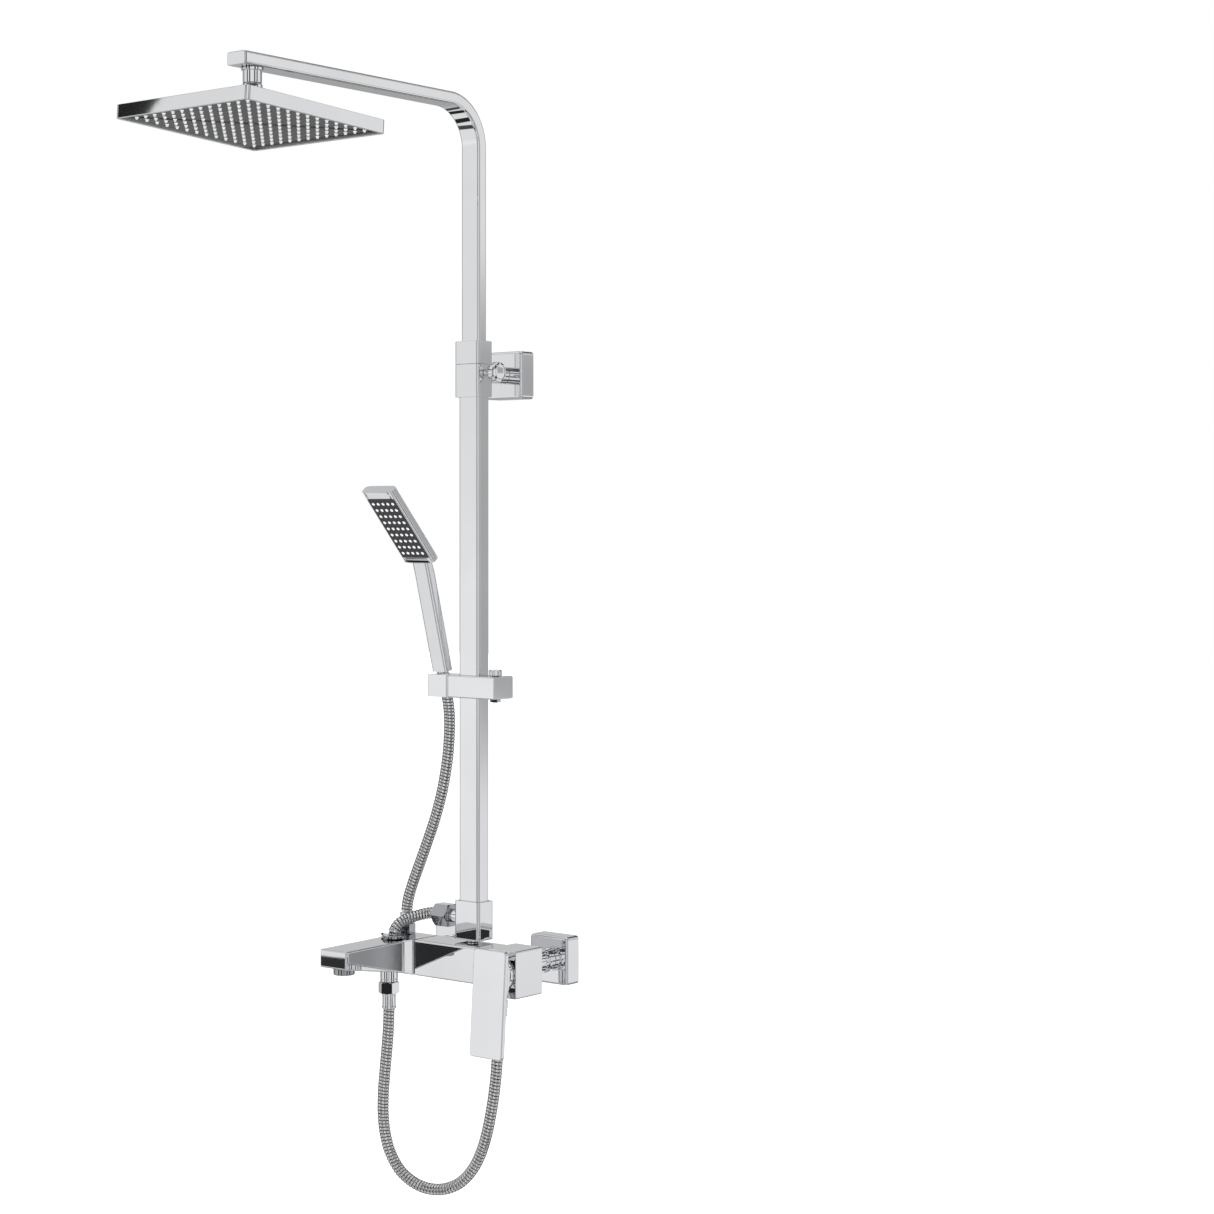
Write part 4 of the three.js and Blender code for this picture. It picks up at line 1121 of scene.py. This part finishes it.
@dataclass
class HandShower:
    """The stick hand shower, built upright on its cone and leaned as a whole."""

    base: tuple[float, float, float] = (-35.3 * MM, -78 * MM, 317 * MM)
    lean: float = math.radians(15)
    head_lean: float = math.radians(26.5)
    handle: tuple[float, float] = (23.3 * MM, 12.7 * MM)
    neck: float = 150 * MM
    head: tuple[float, float] = (48 * MM, 12 * MM)
    head_run: tuple[float, float] = (3.5 * MM, 111 * MM)
    face_middle: float = 56 * MM
    face: tuple[float, float] = (41 * MM, 90 * MM)
    recess: float = 1.8 * MM
    nozzle_rows: tuple[int, int] = (5, 9)

    def spot(self, x: float, y: float, z: float) -> Vector:
        """A place in the hand shower before it is leaned, measured from its cone."""
        return Vector(self.base) + Vector((x, y, z))

    def up_head(self, run: float) -> Vector:
        """The head's middle line, this far above the neck."""
        return self.spot(0, -math.sin(self.head_lean) * run, self.neck + math.cos(self.head_lean) * run)

    def finish_piece(self, piece: bpy.types.Object, finish: Finish, *nodes: str) -> bpy.types.Object:
        """Leans a piece with the hand shower, keeps it out of the rail's mirror image and dresses it."""
        piece.visible_glossy = False
        return dress(lean_about(piece, self.lean, self.base), finish, "handset", *nodes)

    def foot(self) -> None:
        """Builds the cone that sits in the holder and the short connector above it."""
        cone = turned("hand_cone_turned", self.base, [(0, -12.6 * MM), (7.3 * MM, -12.6 * MM), (8.2 * MM, 12 * MM),
                                                      (0, 12 * MM)])
        self.finish_piece(soften(cone, 0.4 * MM, 3), CHROME, "hand_cone")
        link = turned("hand_link", self.base, [(0, 12.3 * MM), (6.6 * MM, 12.3 * MM), (7 * MM, 12.7 * MM),
                                               (7 * MM, 14.4 * MM), (6.4 * MM, 14.8 * MM), (6.4 * MM, 15.4 * MM),
                                               (7 * MM, 15.8 * MM), (7 * MM, 17.6 * MM), (0, 17.6 * MM)])
        self.finish_piece(soften(link, 0.2 * MM, 2), CHROME, "hand_connector")

    def on_face(self, piece: bpy.types.Object) -> bpy.types.Object:
        """Leans a piece made flat against the upright head into the head's own lean."""
        return lean_about(piece, self.head_lean, self.spot(0, 0, self.neck))

    def flat(self, name: str, size: tuple[float, float], depth: tuple[float, float],
             corner: float) -> bpy.types.Object:
        """A plate on the head's front.

        Args:
            name: Its name.
            size: Width and length.
            depth: Its front and back, from the head's middle plane.
            corner: Its corner radius.

        Returns:
            The plate, leaned with the head.
        """
        width, length = size
        middle = self.neck + self.face_middle
        low = self.spot(-width / 2, depth[0], middle - length / 2)
        high = self.spot(width / 2, depth[1], middle + length / 2)
        return self.on_face(cuboid(name, low, high, corner, Facing.OUT))

    def body(self) -> None:
        """Draws the handle up into the neck and the flat head, then cuts the face's pocket."""
        wide, thick = self.handle
        head_wide, head_thick = self.head
        head_foot, head_top = self.head_run
        start = self.spot(0, 0, 18 * MM)
        top = self.spot(0, 0, self.neck - 14 * MM)
        body = cuboid("hand_shell", start - Vector((wide / 2, thick / 2, 0)),
                      top + Vector((wide / 2, thick / 2, 0)), 3.6 * MM, Facing.UP)
        edit(body)
        pick_faces(body, lambda _, normal: normal.z > 0.9)
        bend = self.head_lean
        here = grow(self.up_head(head_foot - 0.4 * MM) - top, top, (1, head_thick / thick, 1), bend)
        here = grow(self.up_head(head_foot) - here, here, (head_wide / wide, 1, 1))
        grow(self.up_head(head_top) - here, here)
        bpy.ops.object.mode_set(mode="OBJECT")
        soften(body, 1.2 * MM, 3, 40)
        skin = -head_thick / 2
        width, length = self.face
        pocket = self.flat("pocket", (width + 0.6 * MM, length + 0.6 * MM), (skin - 5 * MM, skin + self.recess),
                           2 * MM)
        carve(body, pocket)
        take_up(body)
        bpy.ops.object.shade_smooth_by_angle(angle=math.radians(35))
        modify(body, "WEIGHTED_NORMAL", mode="FACE_AREA", weight=80, keep_sharp=True)
        self.finish_piece(body, CHROME, "hand_body")

    def spray_face(self) -> None:
        """Builds the black face and its rows of pale nozzles."""
        skin = -self.head[1] / 2
        front = skin + self.recess - 1.5 * MM
        face = self.flat("hand_plate", self.face, (front, front + 1.2 * MM), 1.8 * MM)
        self.finish_piece(soften(face, 0.3 * MM, 2), BLACK_PLASTIC, "hand_face")
        across, up = self.nozzle_rows
        pitch = Vector((self.face[0] / (across + 0.4), 0, self.face[1] / (up + 0.6)))
        first = self.spot(-pitch.x * (across - 1) / 2, front,
                          self.neck + self.face_middle - pitch.z * (up - 1) / 2)
        nozzle = turned("hand_nozzles", first, [(0, -0.2 * MM), (2.1 * MM, -0.2 * MM), (1.9 * MM, 0.35 * MM),
                                                (0.8 * MM, 0.5 * MM), (0, 0.2 * MM)], Facing.OUT, 12)
        modify(nozzle, "ARRAY", count=across, use_relative_offset=False, use_constant_offset=True,
               constant_offset_displace=(pitch.x, 0, 0))
        modify(nozzle, "ARRAY", count=up, use_relative_offset=False, use_constant_offset=True,
               constant_offset_displace=(0, 0, pitch.z))
        take_up(nozzle)
        bpy.ops.object.shade_smooth_by_angle(angle=math.radians(40))
        self.finish_piece(self.on_face(nozzle), NOZZLE)


# ---- Studio -------------------------------------------------------------------------------

@dataclass(frozen=True)
class Panel:
    """A soft-edged panel of the surround, lighter or darker than what is behind it.

    Bearings are degrees anticlockwise from +X seen from above, -180 to 180. Heights run from -1, straight
    down, to 1, straight up.
    """

    bearings: tuple[float, float]
    heights: tuple[float, float]
    brightness: float
    blur: tuple[float, float] = (4.0, 0.03)

    def edge(self, tree: bpy.types.NodeTree, value: bpy.types.NodeSocket, place: float, blur: float,
             rising: bool) -> bpy.types.NodeSocket:
        """Adds one soft edge: 0 to 1 across it, or 1 to 0."""
        node = tree.nodes.new("ShaderNodeMapRange")
        node.interpolation_type = "SMOOTHSTEP"
        node.inputs["From Min"].default_value = place - blur / 2
        node.inputs["From Max"].default_value = place + blur / 2
        node.inputs["To Min"].default_value = 0.0 if rising else 1.0
        node.inputs["To Max"].default_value = 1.0 if rising else 0.0
        tree.links.new(value, node.inputs["Value"])
        return node.outputs["Result"]

    def laid_over(self, tree: bpy.types.NodeTree, light: bpy.types.NodeSocket, bearing: bpy.types.NodeSocket,
                  height: bpy.types.NodeSocket) -> bpy.types.NodeSocket:
        """Lays the panel over what is behind it.

        Args:
            tree: The surround's nodes.
            light: The colour behind the panel.
            bearing: The direction's bearing.
            height: The direction's height.

        Returns:
            The colour with the panel over it.
        """
        mask = None
        for value, span, blur in ((bearing, self.bearings, self.blur[0]), (height, self.heights, self.blur[1])):
            for place, rising in zip(span, (True, False)):
                part = self.edge(tree, value, place, blur, rising)
                if mask is None:
                    mask = part
                    continue
                both = tree.nodes.new("ShaderNodeMath")
                both.operation = "MULTIPLY"
                tree.links.new(mask, both.inputs[0])
                tree.links.new(part, both.inputs[1])
                mask = both.outputs["Value"]
        cover = tree.nodes.new("ShaderNodeMix")
        cover.data_type = "RGBA"
        cover.inputs[7].default_value = (self.brightness, self.brightness, self.brightness, 1)
        tree.links.new(mask, cover.inputs["Factor"])
        tree.links.new(light, cover.inputs[6])
        return cover.outputs[2]


PANELS = (
    Panel((-136, -114), (-0.16, 0.0), 0.88, (6.0, 0.1)),
    Panel((-112, -98), (-1.1, 0.9), 0.02, (2.0, 0.1)),
    Panel((-82, -68), (-1.1, 0.9), 0.02, (2.0, 0.1)),
    Panel((-22, -8), (-1.1, 0.9), 0.02, (2.0, 0.1)),
    Panel((8, 22), (-1.1, 0.9), 0.02, (2.0, 0.1)),
    Panel((36, 60), (-0.09, 0.09), 0.42, (6.0, 0.06)),
    Panel((68, 82), (-1.1, 0.9), 0.02, (2.0, 0.1)),
    Panel((98, 112), (-1.1, 0.9), 0.02, (2.0, 0.1)),
    Panel((119, 141), (-1.1, -0.04), 0.55, (5.0, 0.06)),
    Panel((154, 166), (-1.1, 0.6), 0.02, (2.0, 0.1)),
    Panel((-172, -157), (-1.1, 0.6), 0.02, (2.0, 0.1)),
    Panel((-52, -46.3), (-0.25, -0.1), 0.03, (1.2, 0.04)),
    Panel((-46.3, -42), (-0.25, -0.1), 0.32, (1.2, 0.04)),
    Panel((-143, -139.8), (0.06, 0.4), 0.02, (0.12, 0.04)),
    Panel((-136.4, -133.6), (-0.2, -0.163), 0.03, (0.6, 0.004)),
    Panel((-181, 181), (-0.64, -0.54), 0.06, (4.0, 0.03)),
    Panel((-181, 181), (0.33, 0.43), 0.06, (4.0, 0.03)),
    Panel((-181, 181), (0.57, 0.66), 0.06, (4.0, 0.03)),
    Panel((-152, -136), (0.54, 0.66), 0.85, (2.0, 0.02)),
    Panel((158, 176), (0.7, 0.84), 0.6, (3.0, 0.03)),
)


@dataclass
class Studio:
    """The camera, the pale floor and the light that the chrome shows."""

    stand: tuple[float, float, float] = (1.9572, -2.2704, 0.5038)
    turn: float = math.radians(38.6)
    lens: float = 74.87
    rise: float = -0.0671
    floor_level: float = -1.0
    floor_glow: float = 0.85
    white: float = 1.0
    surround: float = 0.8

    def camera(self) -> None:
        """Sets the camera up level, looking at the column from its right."""
        data = bpy.data.cameras.new("camera")
        data.lens, data.sensor_width, data.shift_y = self.lens, 36, self.rise
        data.clip_start, data.clip_end = 0.05, 60
        camera = bpy.data.objects.new("camera", data)
        camera.location = self.stand
        camera.rotation_euler = (math.pi / 2, 0, self.turn)
        bpy.context.scene.collection.objects.link(camera)
        bpy.context.scene.camera = camera

    def floor(self) -> None:
        """Lays a wide pale floor."""
        clear_selection()
        bpy.ops.mesh.primitive_plane_add(size=40, location=(0, 0, self.floor_level))
        floor = bpy.context.object
        floor.name = "floor"
        finish = bpy.data.materials.new("pale_floor")
        finish.use_nodes = True
        shader = finish.node_tree.nodes["Principled BSDF"]
        shader.inputs["Base Color"].default_value = (0.95, 0.95, 0.95, 1)
        shader.inputs["Roughness"].default_value = 0.9
        shader.inputs["Emission Color"].default_value = (1, 1, 1, 1)
        shader.inputs["Emission Strength"].default_value = self.floor_glow
        floor.data.materials.append(finish)
        floor.visible_glossy = False

    def light(self) -> None:
        """Makes the surround: white to the eye, with soft dark bands for the chrome to reflect."""
        scene = bpy.context.scene
        scene.view_settings.view_transform = "Standard"
        world = scene.world or bpy.data.worlds.new("surround")
        scene.world = world
        world.use_nodes = True
        tree = world.node_tree
        tree.nodes.clear()
        way = tree.nodes.new("ShaderNodeTexCoord").outputs["Generated"]
        parts = tree.nodes.new("ShaderNodeSeparateXYZ")
        tree.links.new(way, parts.inputs["Vector"])
        around = tree.nodes.new("ShaderNodeMath")
        around.operation = "ARCTAN2"
        tree.links.new(parts.outputs["Y"], around.inputs[0])
        tree.links.new(parts.outputs["X"], around.inputs[1])
        bearing = tree.nodes.new("ShaderNodeMath")
        bearing.operation = "DEGREES"
        tree.links.new(around.outputs["Value"], bearing.inputs[0])
        light = tree.nodes.new("ShaderNodeRGB").outputs["Color"]
        light.default_value = (self.surround, self.surround, self.surround, 1)
        for panel in PANELS:
            light = panel.laid_over(tree, light, bearing.outputs["Value"], parts.outputs["Z"])
        studio = tree.nodes.new("ShaderNodeBackground")
        tree.links.new(light, studio.inputs["Color"])
        plain = tree.nodes.new("ShaderNodeBackground")
        plain.inputs["Color"].default_value = (self.white, self.white, self.white, 1)
        eye = tree.nodes.new("ShaderNodeLightPath").outputs["Is Camera Ray"]
        mix = tree.nodes.new("ShaderNodeMixShader")
        tree.links.new(eye, mix.inputs["Fac"])
        tree.links.new(studio.outputs["Background"], mix.inputs[1])
        tree.links.new(plain.outputs["Background"], mix.inputs[2])
        out = tree.nodes.new("ShaderNodeOutputWorld")
        tree.links.new(mix.outputs["Shader"], out.inputs["Surface"])


# ---- Assembly -----------------------------------------------------------------------------

def main() -> None:
    """Builds the column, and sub-assembly by sub-assembly."""
    logging.basicConfig(level=logging.INFO, format="%(message)s")
    studio = Studio()
    studio.camera()
    hoses = Hoses()
    hoses.free_hoses()
    hoses.link()
    hoses.fittings()
    for side, hole in (("left", INLET_HOLE), ("right", INLET_HOLE), ("upper", STEM_HOLE)):
        fitting = WallFitting(side)
        fitting.cover(hole)
        if side != "upper":
            fitting.inlet()
    mixer = Mixer()
    mixer.bar()
    mixer.hub()
    lever = Lever()
    lever.cap()
    lever.plate()
    spout = Spout()
    spout.body()
    spout.outlet()
    Diverter().build()
    rail = Rail()
    rail.build()
    rail.stem_and_knob()
    arm = Arm()
    arm.tube()
    arm.joint()
    head = RainHead()
    head.build()
    head.nozzles()
    slider = Slider()
    slider.block()
    slider.screw_knob()
    slider.holder()
    hand = HandShower()
    hand.foot()
    hand.body()
    hand.spray_face()
    studio.floor()
    studio.light()
    clear_selection()


if __name__ == "__main__":
    main()
